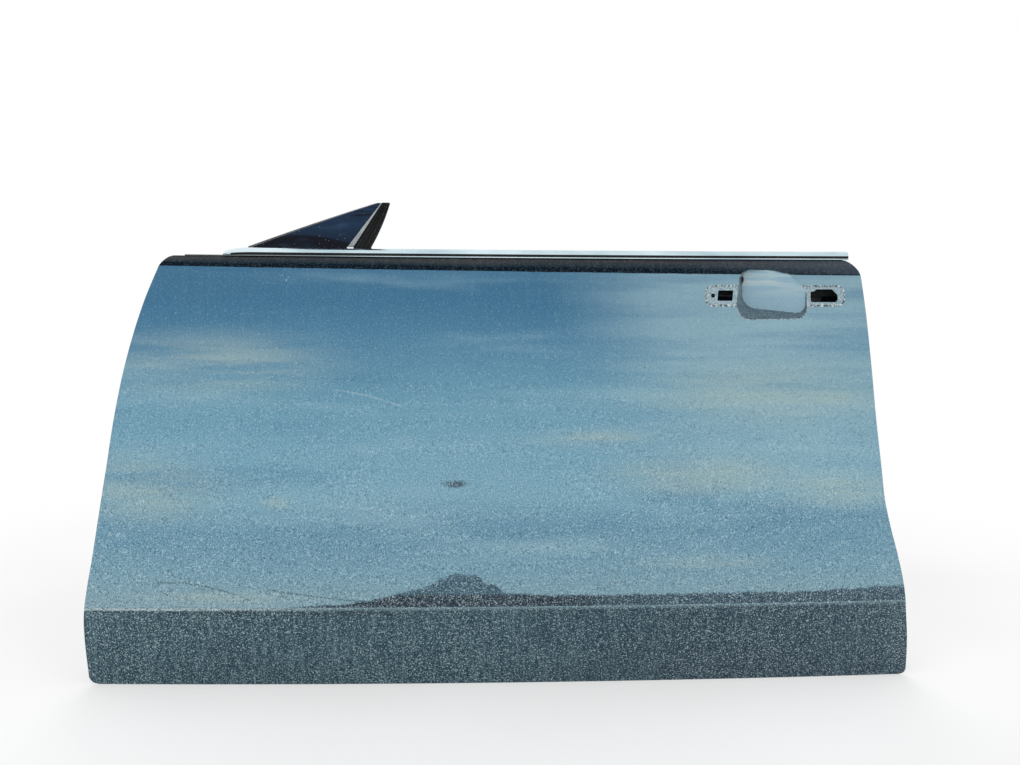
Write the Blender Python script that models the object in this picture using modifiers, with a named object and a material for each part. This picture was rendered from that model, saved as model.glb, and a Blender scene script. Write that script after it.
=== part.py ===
"""Door shell of a long two-door coupe with frameless glass: the front left door, stripped of its
handle, mirror, glass, latch and hinges. Metres, +Z up. X runs rearwards, Y inboards and Z up.

The door is drawn from its own datum: X = 0 at its foremost point, Z = 0 at the hem below and Y = 0
where the glass crosses the belt line. One parent empty then moves that datum, so that the world's
origin is the middle of the upper hinge seat."""

import math

import bmesh
import bpy
from mathutils import Matrix, Vector

# Outline of the outer skin
LENGTH = 1.387
BELT_HEIGHT = 0.714
BOTTOM_FRONT_RADIUS = 0.016
BOTTOM_REAR_RADIUS = 0.012
TOP_FRONT_RADIUS = 0.013
TOP_REAR_RADIUS = 0.022
# (share of BELT_HEIGHT, share of LENGTH)
FRONT_EDGE_SHARES = (
    (0.0, 0.0), (0.157, 0.0), (0.228, 0.0045), (0.329, 0.015), (0.525, 0.034),
    (0.651, 0.0453), (0.776, 0.0595), (0.898, 0.0783), (1.0, 0.0995),
)
REAR_EDGE_SHARES = (
    (0.0, 1.0), (0.097, 0.994), (0.172, 0.9873), (0.245, 0.9805), (0.3165, 0.970),
    (0.385, 0.9582), (0.454, 0.9481), (0.521, 0.9423), (0.651, 0.932), (0.78, 0.9243),
    (0.906, 0.9175), (1.0, 0.9113),
)

# Section of the outer skin: how far it stands outboard of the datum
LOWER_CREASE_HEIGHT = 0.145
# The shoulder crease, measured down from the belt
SHOULDER_DROP_FRONT = 0.012
SHOULDER_DROP_REAR = 0.023
HEM_OUT = 0.058
LOWER_CREASE_OUT = 0.098
BULGE_OUT = 0.112
SHOULDER_OUT = 0.066
BELT_OUT = 0.034
PLAN_CROWN = 0.018
CROWN_CENTRE_SHARE = 0.45
# (share of the zone's height, share of the way between the zone's offsets)
TUCK_SECTION_SHARES = ((0.0, 0.0), (0.5, 0.56), (1.0, 1.0))
BODY_SECTION_SHARES = (
    (0.0, 0.70), (0.10, 0.79), (0.355, 1.0), (0.645, 0.85), (0.827, 0.52), (1.0, 0.0),
)
SHOULDER_SECTION_SHARES = ((0.0, 1.0), (0.45, 0.64), (1.0, 0.0))
# Rows of the pressing between its creases, as shares of each zone's height
TUCK_ROW_SHARES = (0.0, 0.016, 0.055, 0.11, 0.3, 0.6, 1.0)
BODY_ROW_SHARES = tuple(n / 12 for n in range(13))
SHOULDER_ROW_SHARES = (0.0, 0.3, 0.62, 0.86, 1.0)
SKIN_COLUMNS = 24

# Sheet metal
SKIN_GAUGE = 0.0008
PANEL_GAUGE = 0.001
REINFORCEMENT_GAUGE = 0.0015
HINGE_PLATE_GAUGE = 0.0025
SEAT_GAP = 0.0003
HEM_WIDTH = 0.009
HEM_RELIEF = 0.006
CUT_OVERRUN = 0.02
WELD = 0.000001

# Handle recess: a scoop with a landing pad at each end. Setbacks run forwards from the rearmost
# point and drops run down from the belt.
CUP_LEFT_SETBACK = 0.3305
CUP_RIGHT_SETBACK = 0.211
CUP_LOW_DROP = 0.0915
CUP_HIGH_DROP = 0.011
CUP_LEFT = LENGTH - CUP_LEFT_SETBACK
CUP_RIGHT = LENGTH - CUP_RIGHT_SETBACK
CUP_LOW = BELT_HEIGHT - CUP_LOW_DROP
CUP_HIGH = BELT_HEIGHT - CUP_HIGH_DROP
CUP_DEPTH = 0.030
CUP_LEFT_DRAFT = 0.50
CUP_LOW_DRAFT = 0.52
CUP_RIGHT_DRAFT = 0.12
CUP_RISE_TO_REAR = 0.185
CUP_RISE_TO_TOP = 0.03
CUP_LOW_LEFT_RADIUS = 0.026
CUP_LOW_RIGHT_RADIUS = 0.016
CUP_TOP_RADIUS = 0.009
PAD_HEIGHT = 0.031
PAD_SINK = 0.0015
PAD_DRAFT = 0.4
PAD_DROP = 0.0545
PAD_MIDDLE_HEIGHT = BELT_HEIGHT - PAD_DROP
FRONT_PAD_LENGTH = 0.0505
REAR_PAD_LENGTH = 0.0615
FRONT_PAD_START = CUP_LEFT - FRONT_PAD_LENGTH
REAR_PAD_END = CUP_RIGHT + REAR_PAD_LENGTH
FRONT_PAD_END_RADIUS = 0.0145
REAR_PAD_END_RADIUS = 0.010
PAD_LAP = 0.004
FRONT_OPENING_INSET = 0.0205
FRONT_OPENING_START = FRONT_PAD_START + FRONT_OPENING_INSET
FRONT_OPENING_LENGTH = 0.0265
FRONT_OPENING_HEIGHT = 0.0165
FRONT_OPENING_LEAN_SHARE = 0.125
REAR_OPENING_INSET = 0.0055
REAR_OPENING_START = CUP_RIGHT + REAR_OPENING_INSET
REAR_OPENING_LENGTH = 0.0455
REAR_OPENING_HEIGHT = 0.0205
# (share of the length, share of the height)
REAR_OPENING_SHARES = (
    (0.03, 0.0), (0.93, 0.0), (1.0, 0.18), (1.0, 0.55), (0.80, 1.0), (0.20, 1.0), (0.16, 0.86),
    (0.0, 0.80), (0.0, 0.12),
)
HANDLE_SCREW_INSET = 0.0135
HANDLE_SCREW_PLACE = FRONT_PAD_START + HANDLE_SCREW_INSET
HANDLE_SCREW_RADIUS = 0.0034
HANDLE_SCREW_SIDES = 12

# Glass line and belt
GLASS_LEAN = 0.2126
GLASS_RADIUS = 2.0
MOULDING_START = 0.230
MOULDING_END_SETBACK = 0.1345
MOULDING_END = LENGTH - MOULDING_END_SETBACK
MOULDING_WIDTH = 0.024
MOULDING_HEIGHT = 0.0125
MOULDING_TIP = 0.05
# How high the tip starts, as a share of the moulding's height
MOULDING_NOSE_SHARE = 0.3
MOULDING_TIP_SHARES = (0.0, 0.12, 0.3, 0.6, 1.0)
MOULDING_STATIONS = 18
MOULDING_OVERHANG = 0.004
# (share of the width from outboard, share of the height)
MOULDING_SECTION_SHARES = (
    (0.03, 0.0), (0.0, 0.08), (0.0, 0.22), (0.05, 0.30), (0.12, 0.33), (0.12, 0.42),
    (0.05, 0.45), (0.09, 0.64), (0.22, 0.87), (0.42, 1.0), (0.72, 1.0), (0.92, 0.84),
    (1.0, 0.55), (1.0, 0.0), (0.88, 0.0), (0.88, 0.5), (0.66, 0.82), (0.45, 0.82),
    (0.30, 0.68), (0.22, 0.45), (0.22, 0.0),
)

# Waist seals, each between the glass and the sheet that carries it
SEAL_FOOT = 0.014
OUTER_SEAL_GAP = 0.0062
OUTER_SEAL_WIDTH = 0.0075
OUTER_SEAL_RISE = 0.0095
INNER_SEAL_GAP = 0.0058
INNER_SEAL_WIDTH = 0.0117
INNER_SEAL_RISE = 0.0065
# (share of the width from the lip's tip, share of the foot below the belt or of the rise above it)
OUTER_SEAL_SHARES = (
    (1.0, -1.0), (0.667, -1.0), (0.667, 0.21), (0.0, 0.79), (0.0, 1.0), (0.44, 0.895), (1.0, 0.526),
)
INNER_SEAL_SHARES = (
    (0.316, -1.0), (0.316, -0.143), (0.0, 0.69), (0.034, 1.0), (0.40, 0.385), (1.0, 0.385),
    (1.0, -1.0), (0.786, -1.0), (0.786, -0.257), (0.46, -0.257), (0.46, -1.0),
)
SEAL_START = 0.476
SEAL_END_CLEARANCE = 0.004
WAIST_LEG_OFFSET = 0.0155
WAIST_LEG_LENGTH = 0.042
WAIST_LIP_DROP = 0.017
WAIST_LEG_LOW = BELT_HEIGHT - WAIST_LEG_LENGTH
WAIST_LIP_LOW = WAIST_LEG_LOW - WAIST_LIP_DROP
WAIST_LIP_OUT = 0.040
WAIST_STATIONS = 14

# Sail panel ahead of the glass
SAIL_FRONT = 0.266
SAIL_BASE_RISE = 0.0135
SAIL_HEIGHT = 0.071
SAIL_FOOT_DROP = 0.011
SAIL_BASE = BELT_HEIGHT + SAIL_BASE_RISE
SAIL_TOP = SAIL_BASE + SAIL_HEIGHT
SAIL_FOOT = BELT_HEIGHT - SAIL_FOOT_DROP
SAIL_TIP_FRONT = 0.4716
SAIL_TIP_REAR = 0.482
SAIL_BASE_REAR = 0.4275
SAIL_BOW = 0.0012
SAIL_OUT = 0.012
SAIL_DEPTH = 0.012
SAIL_GAUGE = 0.0012
# The sharpest mitre that the sail's inner outline follows, as a cosine
SAIL_MITRE_SHARE = 0.35
STRIP_BASE_REAR = 0.4377
STRIP_TIP_REAR = 0.484
STRIP_PROUD = 0.0008
SAIL_SEAL_BASE_REAR = 0.467
SAIL_SEAL_TIP_REAR = 0.4973
SAIL_SEAL_BOW = 0.0025
SAIL_SEAL_DEPTH = 0.0165
SAIL_SEAL_LIP = 0.004
GLASS_SLOT_WALL = 0.007
SAIL_BRACKET_FRONT = 0.31
SAIL_BRACKET_REAR = 0.415
SAIL_BRACKET_DROP = 0.032

# Glass guides: steel channels inside the door
GUIDE_WIDTH = 0.018
GUIDE_DEPTH = 0.016
FRONT_GUIDE_TOP_X = 0.452
FRONT_GUIDE_SLOPE = 0.25
FRONT_GUIDE_LENGTH = 0.348
REAR_GUIDE_SETBACK = 0.182
REAR_GUIDE_LENGTH = 0.403
GUIDE_HEAD_GAP = 0.0012
GUIDE_TOP = SAIL_FOOT - GUIDE_HEAD_GAP
GUIDE_STATIONS = 7
RUN_WALL = 0.0035
GUIDE_FOOT_HEIGHT = 0.022

# Side intrusion beam
BEAM_RADIUS = 0.0155
BEAM_WALL = 0.002
BEAM_OUT = 0.066
BEAM_FRONT_HEIGHT = 0.360
BEAM_REAR_HEIGHT = 0.300
BEAM_BRACKET_WIDTH = 0.034
BEAM_BRACKET_HEIGHT = 0.060
# Share of the way along the beam
FLUTTER_PAD_SHARES = (0.335, 0.53, 0.725)
FLUTTER_PAD_RADIUS = 0.014
# Left, right, low and high edges, as shares of LENGTH and BELT_HEIGHT
DAMPING_PAD_SHARES = (0.418, 0.6705, 0.588, 0.84)
DAMPING_PAD_THICKNESS = 0.002
DAMPING_PAD_COLUMNS = 7
DAMPING_PAD_ROWS = 6

# Inner panel
PANEL_INBOARD = 0.042
SEAL_STEP_INBOARD = 0.012
SEAL_STEP_WIDTH = 0.013
STEP_WALL_RUN = 0.004
PANEL_FLANGE_WIDTH = 0.0125
PANEL_TOP_DROP = 0.005
PANEL_TOP = BELT_HEIGHT - PANEL_TOP_DROP
BELT_FLANGE_INBOARD = 0.0145
BELT_FLANGE_HEIGHT = 0.036
BELT_SLOPE_HEIGHT = 0.030
WALL_DRAFT = 0.10
PANEL_COLUMNS_INSIDE = 13
# The level of each column from a shut edge inwards: 0 hem, 1 seal step, 2 field
EDGE_LEVELS = (0, 0, 1, 1, 2)
FRONT_WALL_SHARES = ((0.0, 0.0128), (0.224, 0.0178), (0.84, 0.0826), (1.0, 0.1175))
REAR_WALL_SHARES = ((0.0, 0.9845), (0.238, 0.9645), (0.434, 0.9345), (0.84, 0.9075), (1.0, 0.894))

# Hinge seats on the front shut face
UPPER_HINGE_HEIGHT = 0.505
LOWER_HINGE_HEIGHT = 0.250
HINGE_SEAT_INBOARD = -0.032
HINGE_SEAT_HEIGHT = 0.078
HINGE_SEAT_WIDTH = 0.052
HINGE_SEAT_RISE = 0.003
HINGE_SEAT_RADIUS = 0.008
HINGE_BOLT_PITCH = 0.048
HINGE_BOLT_RADIUS = 0.0055
HINGE_REINFORCEMENT_MIDDLE = 0.378
HINGE_REINFORCEMENT_HEIGHT = 0.390
HINGE_REINFORCEMENT_WIDTH = 0.066
CHECK_STRAP_MIDDLE = 0.385
CHECK_STRAP_HEIGHT = 0.030
CHECK_STRAP_WIDTH = 0.016

# Latch seat on the rear shut face
LATCH_HEIGHT = 0.455
LATCH_INBOARD = -0.030
LATCH_SEAT_HEIGHT = 0.108
LATCH_SEAT_WIDTH = 0.056
LATCH_SEAT_RISE = 0.002
LATCH_OPENING_HEIGHT = 0.052
LATCH_OPENING_WIDTH = 0.026
LATCH_SCREW_RADIUS = 0.0035
# (share of the seat's width, share of its height) from its middle
LATCH_SCREW_SHARES = ((0.0, 0.37), (0.3, -0.32), (-0.3, -0.32))
LATCH_REINFORCEMENT_HEIGHT = 0.150
LATCH_REINFORCEMENT_WIDTH = 0.070

# Holes in the inner panel: left, right, low and high edges, as shares of LENGTH and BELT_HEIGHT
FRONT_APERTURE_SHARES = (0.1694, 0.4037, 0.5532, 0.8473)
FRONT_APERTURE_RADIUS = 0.035
REAR_APERTURE_SHARES = (0.4614, 0.8075, 0.21, 0.8403)
REAR_APERTURE_RADIUS = 0.055
SPEAKER_SHARES = (0.2055, 0.3011)
SPEAKER_RADIUS = 0.080
SPEAKER_RING = 0.018
SPEAKER_RISE = 0.003
PLUG_SHARES = ((0.1334, 0.7283), (0.3461, 0.21), (0.3461, 0.42), (0.858, 0.266))
PLUG_HOLE_RADIUS = 0.012
PLUG_HEAD_RADIUS = 0.0155
PLUG_HEAD_HEIGHT = 0.0018
PLUG_LIP_RADIUS = 0.0132
PLUG_LIP_HEIGHT = 0.0025
PLUG_DOME_SHARE = 0.85
PLUG_NOSE_SHARE = 0.8
DRAIN_SHARES = (0.1586, 0.5047, 0.8796)
DRAIN_LENGTH = 0.024
DRAIN_WIDTH = 0.007


def curve_at(points, place):
    """The smooth curve through (place, value) points, with each slope taken from its neighbours."""
    places = [p for p, _ in points]
    values = [v for _, v in points]
    last = len(points) - 1

    def slope(i):
        low, high = max(i - 1, 0), min(i + 1, last)
        return (values[high] - values[low]) / (places[high] - places[low])

    i = max([n for n in range(last) if places[n] <= place], default=0)
    span = places[i + 1] - places[i]
    t = (place - places[i]) / span
    if t < 0:
        return values[0] + slope(0) * (place - places[0])
    if t > 1:
        return values[last] + slope(last) * (place - places[last])
    return (
        values[i] * (2 * t**3 - 3 * t**2 + 1)
        + slope(i) * span * (t**3 - 2 * t**2 + t)
        + values[i + 1] * (3 * t**2 - 2 * t**3)
        + slope(i + 1) * span * (t**3 - t**2)
    )


def line_at(points, place):
    """The broken line through (place, value) points."""
    i = max([n for n in range(len(points) - 1) if points[n][0] <= place], default=0)
    (p0, v0), (p1, v1) = points[i], points[i + 1]
    return v0 + (v1 - v0) * (place - p0) / (p1 - p0)


def blend(a, b, share):
    return a + (b - a) * share


def faceted(points, stations, share):
    """The curve's value on the flat strip between the two stations round this share."""
    i = max([n for n in range(len(stations) - 1) if stations[n] <= share], default=0)
    low, high = stations[i], stations[i + 1]
    return blend(curve_at(points, low), curve_at(points, high), (share - low) / (high - low))


def corner_inset(distance, radius):
    """How far a rounded corner draws an edge in, at this distance from the corner's end."""
    reach = radius - max(distance, 0)
    return radius - math.sqrt(radius**2 - reach**2) if 0 < reach else 0


def front_edge(z, inset=0):
    return (
        LENGTH * curve_at(FRONT_EDGE_SHARES, z / BELT_HEIGHT)
        + inset
        + corner_inset(z - inset, max(BOTTOM_FRONT_RADIUS - inset, 0))
        + corner_inset(BELT_HEIGHT - z, TOP_FRONT_RADIUS)
    )


def rear_edge(z, inset=0):
    return (
        LENGTH * curve_at(REAR_EDGE_SHARES, z / BELT_HEIGHT)
        - inset
        - corner_inset(z - inset, max(BOTTOM_REAR_RADIUS - inset, 0))
        - corner_inset(BELT_HEIGHT - z, TOP_REAR_RADIUS)
    )


def shoulder_height(across):
    return BELT_HEIGHT - blend(SHOULDER_DROP_FRONT, SHOULDER_DROP_REAR, across)


def crown(x):
    """How far the door's barrel shape in plan draws it inboard."""
    return PLAN_CROWN * (2 * (x / LENGTH - CROWN_CENTRE_SHARE)) ** 2


def skin_y(x, z):
    """Where the skin's outer face lies."""
    front, rear = front_edge(z), rear_edge(z)
    shoulder = shoulder_height((x - front) / (rear - front))
    if z < LOWER_CREASE_HEIGHT:
        share = faceted(TUCK_SECTION_SHARES, TUCK_ROW_SHARES, z / LOWER_CREASE_HEIGHT)
        out = blend(HEM_OUT, LOWER_CREASE_OUT, share)
    elif z < shoulder:
        share = (z - LOWER_CREASE_HEIGHT) / (shoulder - LOWER_CREASE_HEIGHT)
        share = faceted(BODY_SECTION_SHARES, BODY_ROW_SHARES, share)
        out = blend(SHOULDER_OUT, BULGE_OUT, share)
    else:
        share = (z - shoulder) / (BELT_HEIGHT - shoulder)
        share = faceted(SHOULDER_SECTION_SHARES, SHOULDER_ROW_SHARES, share)
        out = blend(BELT_OUT, SHOULDER_OUT, share)
    return crown(x) - out


def glass_y(x, z):
    """The middle of the glass, which leans inboards above the belt."""
    rise = z - BELT_HEIGHT
    return crown(x) + GLASS_LEAN * rise + rise**2 / (2 * GLASS_RADIUS)


def front_wall(z, y):
    """Where the outer side of the front shut face lies."""
    return LENGTH * line_at(FRONT_WALL_SHARES, z / BELT_HEIGHT) + WALL_DRAFT * (y + BELT_OUT)


def rear_wall(z, y):
    return LENGTH * line_at(REAR_WALL_SHARES, z / BELT_HEIGHT) - WALL_DRAFT * (y + BELT_OUT)


# Scene helpers
for leftover in list(bpy.data.objects):
    bpy.data.objects.remove(leftover, do_unlink=True)
parts = bpy.data.collections.new("door_shell")
cutters = bpy.data.collections.new("cutters")
bpy.context.scene.collection.children.link(parts)
bpy.context.scene.collection.children.link(cutters)
datum = bpy.data.objects.new("door_datum", None)
parts.objects.link(datum)


def finish(name, colour, roughness, metallic=0.0):
    material = bpy.data.materials.new(name)
    material.use_nodes = True
    shader = material.node_tree.nodes["Principled BSDF"]
    shader.inputs["Base Color"].default_value = (*colour, 1.0)
    shader.inputs["Roughness"].default_value = roughness
    shader.inputs["Metallic"].default_value = metallic
    return material


BODY_PAINT = finish("body_paint", (0.015, 0.028, 0.05), 0.15)
INNER_PAINT = finish("inner_paint", (0.02, 0.03, 0.045), 0.4)
BRIGHT_TRIM = finish("bright_trim", (0.8, 0.82, 0.84), 0.12, 1.0)
GREY_TRIM = finish("grey_trim", (0.6, 0.62, 0.63), 0.45)
BLACK_RUBBER = finish("black_rubber", (0.012, 0.012, 0.013), 0.7)
BARE_STEEL = finish("bare_steel", (0.35, 0.36, 0.37), 0.4, 1.0)
MASTIC = finish("mastic", (0.08, 0.08, 0.075), 0.85)


def add(name, mesh, material, smooth_below=35):
    """Puts a mesh in the door as a part, in the door's datum."""
    obj = bpy.data.objects.new(name, mesh)
    parts.objects.link(obj)
    obj.parent = datum
    mesh.materials.append(material)
    mesh.shade_smooth()
    mesh.set_sharp_from_angle(angle=math.radians(smooth_below))
    return obj


def add_cutter(name, mesh):
    obj = bpy.data.objects.new(name, mesh)
    cutters.objects.link(obj)
    obj.parent = datum
    obj.hide_render = True
    obj.display_type = "WIRE"
    return obj


def mesh_from(bm, name, facing_out=True):
    if facing_out:
        bmesh.ops.recalc_face_normals(bm, faces=bm.faces[:])
    mesh = bpy.data.meshes.new(name)
    bm.to_mesh(mesh)
    bm.free()
    return mesh


def boolean(obj, other, operation="DIFFERENCE", solver="EXACT"):
    modifier = obj.modifiers.new(f"{operation.lower()} {other.name}", "BOOLEAN")
    modifier.operation = operation
    modifier.solver = solver
    modifier.object = other


def solidify(obj, thickness, offset=-1, even=True):
    modifier = obj.modifiers.new("gauge", "SOLIDIFY")
    modifier.thickness = thickness
    modifier.offset = offset
    modifier.use_even_offset = even


def grid_mesh(name, columns, rows, point, sink=0):
    """An open grid whose vertex (i, j) lies at point(i, j). sink moves it along its normals, inboards."""
    bm = bmesh.new()
    bmesh.ops.create_grid(bm, x_segments=columns - 1, y_segments=rows - 1, size=1)
    for vertex in list(bm.verts):
        i = round((vertex.co.x + 1) / 2 * (columns - 1))
        j = round((vertex.co.y + 1) / 2 * (rows - 1))
        vertex.co = point(i, j)
    bm.normal_update()
    moves = [(vertex, vertex.normal * -sink) for vertex in bm.verts]
    for vertex, move in moves:
        vertex.co += move
    return mesh_from(bm, name, facing_out=False)


def loft(name, rings, closed=False):
    """A solid through rings of points, capped at both ends unless it closes on itself."""
    bm = bmesh.new()
    loops = [[bm.verts.new(p) for p in ring] for ring in rings]
    count = len(rings[0])
    pairs = list(zip(loops, loops[1:]))
    if closed:
        pairs.append((loops[-1], loops[0]))
    for a, b in pairs:
        for n in range(count):
            bm.faces.new((a[n], a[(n + 1) % count], b[(n + 1) % count], b[n]))
    if not closed:
        bm.faces.new(loops[0])
        bm.faces.new(loops[-1])
        ends = [face for face in bm.faces if len(face.verts) == count and count > 4]
        bmesh.ops.triangulate(bm, faces=ends)
    return mesh_from(bm, name)


def rounded_outline(left, right, low, high, radii, segments=5):
    """Points round a box with corner radii (low left, low right, high right, high left)."""
    corners = (
        (left, low, 1, 1, 180), (right, low, -1, 1, 270),
        (right, high, -1, -1, 0), (left, high, 1, -1, 90),
    )
    points = []
    for (x, z, dx, dz, start), radius in zip(corners, radii):
        for n in range(segments + 1):
            angle = math.radians(start + 90 * n / segments)
            points.append((
                x + radius * (dx + math.cos(angle)),
                z + radius * (dz + math.sin(angle)),
            ))
    return points


def slab(name, size, matrix, radius=0, segments=4):
    """A plate with rounded corners seen along its local X, centred on the matrix."""
    thick, wide, high = size
    outline = rounded_outline(-wide / 2, wide / 2, -high / 2, high / 2, (radius,) * 4, segments)
    if not radius:
        outline = [outline[n * (segments + 1)] for n in range(4)]
    rings = [
        [matrix @ Vector((side * thick / 2, y, z)) for y, z in outline] for side in (-1, 1)
    ]
    return loft(name, rings)


def rod(name, radius, start, end, sides=20):
    """A straight cylinder between two points."""
    bm = bmesh.new()
    axis = Vector(end) - Vector(start)
    bmesh.ops.create_cone(
        bm, cap_ends=True, segments=sides, radius1=radius, radius2=radius, depth=axis.length
    )
    turn = axis.to_track_quat("Z", "Y").to_matrix().to_4x4()
    turn.translation = (Vector(start) + Vector(end)) / 2
    bmesh.ops.transform(bm, matrix=turn, verts=bm.verts)
    return mesh_from(bm, name)


def wall_frame(wall, z, y, into):
    """A frame on a shut face: local X points out of the door, Y inboards along the face, Z up it."""
    step = LENGTH / 1000
    here = Vector((wall(z, y), y, z))
    up = (Vector((wall(z + step, y), y, z + step)) - here).normalized()
    across = (Vector((wall(z, y + step), y + step, z)) - here).normalized()
    out = across.cross(up).normalized() * into
    up = out.cross(across).normalized()
    matrix = Matrix((out, across, up)).transposed().to_4x4()
    matrix.translation = here
    return matrix


def front_frame(z, y):
    return wall_frame(front_wall, z, y, -1)


def rear_frame(z, y):
    return wall_frame(rear_wall, z, y, 1)


# Outer skin
def skin_rows(top_overrun):
    rows = [("tuck", share) for share in TUCK_ROW_SHARES]
    rows += [("body", share) for share in BODY_ROW_SHARES[1:]]
    rows += [("shoulder", share) for share in SHOULDER_ROW_SHARES[1:]]
    if top_overrun:
        rows.append(("over", 1.0))
    return rows


def skin_point(across, row, inset, top_overrun):
    """A point of the skin's outer face, or of the same face drawn in at its edges."""
    zone, share = row
    shoulder = shoulder_height(across)
    z = {
        "tuck": blend(inset, LOWER_CREASE_HEIGHT, share),
        "body": blend(LOWER_CREASE_HEIGHT, shoulder, share),
        "shoulder": blend(shoulder, BELT_HEIGHT, share),
        "over": BELT_HEIGHT + top_overrun,
    }[zone]
    x = blend(front_edge(z, inset), rear_edge(z, inset), across)
    return Vector((x, skin_y(x, z), z))


def skin_grid(name, inset=0, sink=0, top_overrun=0):
    rows = skin_rows(top_overrun)

    def point(i, j):
        return skin_point(i / (SKIN_COLUMNS - 1), rows[j], inset, top_overrun)

    return grid_mesh(name, SKIN_COLUMNS, len(rows), point, sink)


def block_behind(name, sink, depth):
    """Everything inboard of the skin, from this far behind its outer face."""
    mesh = skin_grid(name, sink=sink)
    bm = bmesh.new()
    bm.from_mesh(mesh)
    bpy.data.meshes.remove(mesh)
    pushed = bmesh.ops.extrude_face_region(bm, geom=bm.faces[:])
    for vertex in [g for g in pushed["geom"] if isinstance(g, bmesh.types.BMVert)]:
        vertex.co.y = depth
    return mesh_from(bm, name)


HEM_SLOT = PANEL_GAUGE + 2 * SEAT_GAP
HEM_STACK = 2 * SKIN_GAUGE + HEM_SLOT


class Recess:
    """A drafted pressing in the skin: an outline that shrinks with depth, closed by a flat floor."""

    def __init__(self, box, drafts, radii, floor_point, floor_slopes):
        self.box = box
        self.drafts = drafts
        self.radii = radii
        self.floor_point = floor_point
        self.floor_slopes = floor_slopes

    def floor_y(self, x, z, grow):
        px, py, pz = self.floor_point
        slope_x, slope_z = self.floor_slopes
        lift = grow * math.sqrt(1 + slope_x**2 + slope_z**2)
        return py + slope_x * (x - px) + slope_z * (z - pz) + lift

    def outline(self, y, grow):
        """The section at this depth. grow thickens the walls outwards."""
        left, right, low, high = self.box
        draft_left, draft_right, draft_low, draft_high = self.drafts
        run = y - self.floor_point[1]
        radii = [max(radius + grow, grow) for radius in self.radii]
        return rounded_outline(
            left + draft_left * run - grow * math.hypot(1, draft_left),
            right - draft_right * run + grow * math.hypot(1, draft_right),
            low + draft_low * run - grow * math.hypot(1, draft_low),
            high - draft_high * run + grow * math.hypot(1, draft_high),
            radii,
        )

    def solid(self, name, grow=0):
        """From well outboard of the skin down to the floor."""
        top = self.floor_point[1] - CUP_DEPTH - CUT_OVERRUN
        near, far = self.outline(top, grow), self.outline(top + CUP_DEPTH, grow)
        rings = [[], []]
        for (x0, z0), (x1, z1) in zip(near, far):
            rate_x = (x1 - x0) / CUP_DEPTH
            rate_z = (z1 - z0) / CUP_DEPTH
            slope_x, slope_z = self.floor_slopes
            start = self.floor_y(x0, z0, grow) - top
            run = start / (1 - slope_x * rate_x - slope_z * rate_z)
            rings[0].append(Vector((x0, top, z0)))
            rings[1].append(Vector((x0 + rate_x * run, top + run, z0 + rate_z * run)))
        return loft(name, rings)


def cup_recess():
    """The finger scoop: deepest low down at its front, and flush at its top and rear."""
    fold_x = CUP_LEFT + CUP_LEFT_DRAFT * CUP_DEPTH
    fold_z = CUP_LOW + CUP_LOW_DRAFT * CUP_DEPTH
    floor = (fold_x, skin_y(fold_x, fold_z) + CUP_DEPTH, fold_z)
    # The drafts work from the floor's level, so the mouth is brought to the skin there.
    box = (fold_x, CUP_RIGHT - CUP_RIGHT_DRAFT * CUP_DEPTH, fold_z, CUP_HIGH)
    radii = (CUP_LOW_LEFT_RADIUS, CUP_LOW_RIGHT_RADIUS, CUP_TOP_RADIUS, CUP_TOP_RADIUS)
    return Recess(
        box, (CUP_LEFT_DRAFT, CUP_RIGHT_DRAFT, CUP_LOW_DRAFT, 0), radii, floor,
        (-CUP_RISE_TO_REAR, CUP_RISE_TO_TOP),
    )


def pad_recess(left, right, radii):
    """A landing pad for one end of the handle, a little below the skin and along it."""
    middle = (left + right) / 2
    half_width, half_height = (right - left) / 2, PAD_HEIGHT / 2
    here = skin_y(middle, PAD_MIDDLE_HEIGHT)
    slope_x = (
        skin_y(middle + half_width, PAD_MIDDLE_HEIGHT) - skin_y(middle - half_width, PAD_MIDDLE_HEIGHT)
    ) / (2 * half_width)
    slope_z = (
        skin_y(middle, PAD_MIDDLE_HEIGHT + half_height) - skin_y(middle, PAD_MIDDLE_HEIGHT - half_height)
    ) / (2 * half_height)
    box = (left, right, PAD_MIDDLE_HEIGHT - half_height, PAD_MIDDLE_HEIGHT + half_height)
    return Recess(
        box, (PAD_DRAFT, PAD_DRAFT, PAD_DRAFT, PAD_DRAFT), radii,
        (middle, here + PAD_SINK, PAD_MIDDLE_HEIGHT), (slope_x, slope_z),
    )


CUP = cup_recess()
FRONT_PAD = pad_recess(
    FRONT_PAD_START, CUP_LEFT + PAD_LAP,
    (FRONT_PAD_END_RADIUS, PAD_LAP / 2, PAD_LAP / 2, FRONT_PAD_END_RADIUS),
)
REAR_PAD = pad_recess(
    CUP_RIGHT - PAD_LAP, REAR_PAD_END,
    (PAD_LAP / 2, REAR_PAD_END_RADIUS, REAR_PAD_END_RADIUS, PAD_LAP / 2),
)
HANDLE_RECESSES = {"cup": CUP, "front_pad": FRONT_PAD, "rear_pad": REAR_PAD}


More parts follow.
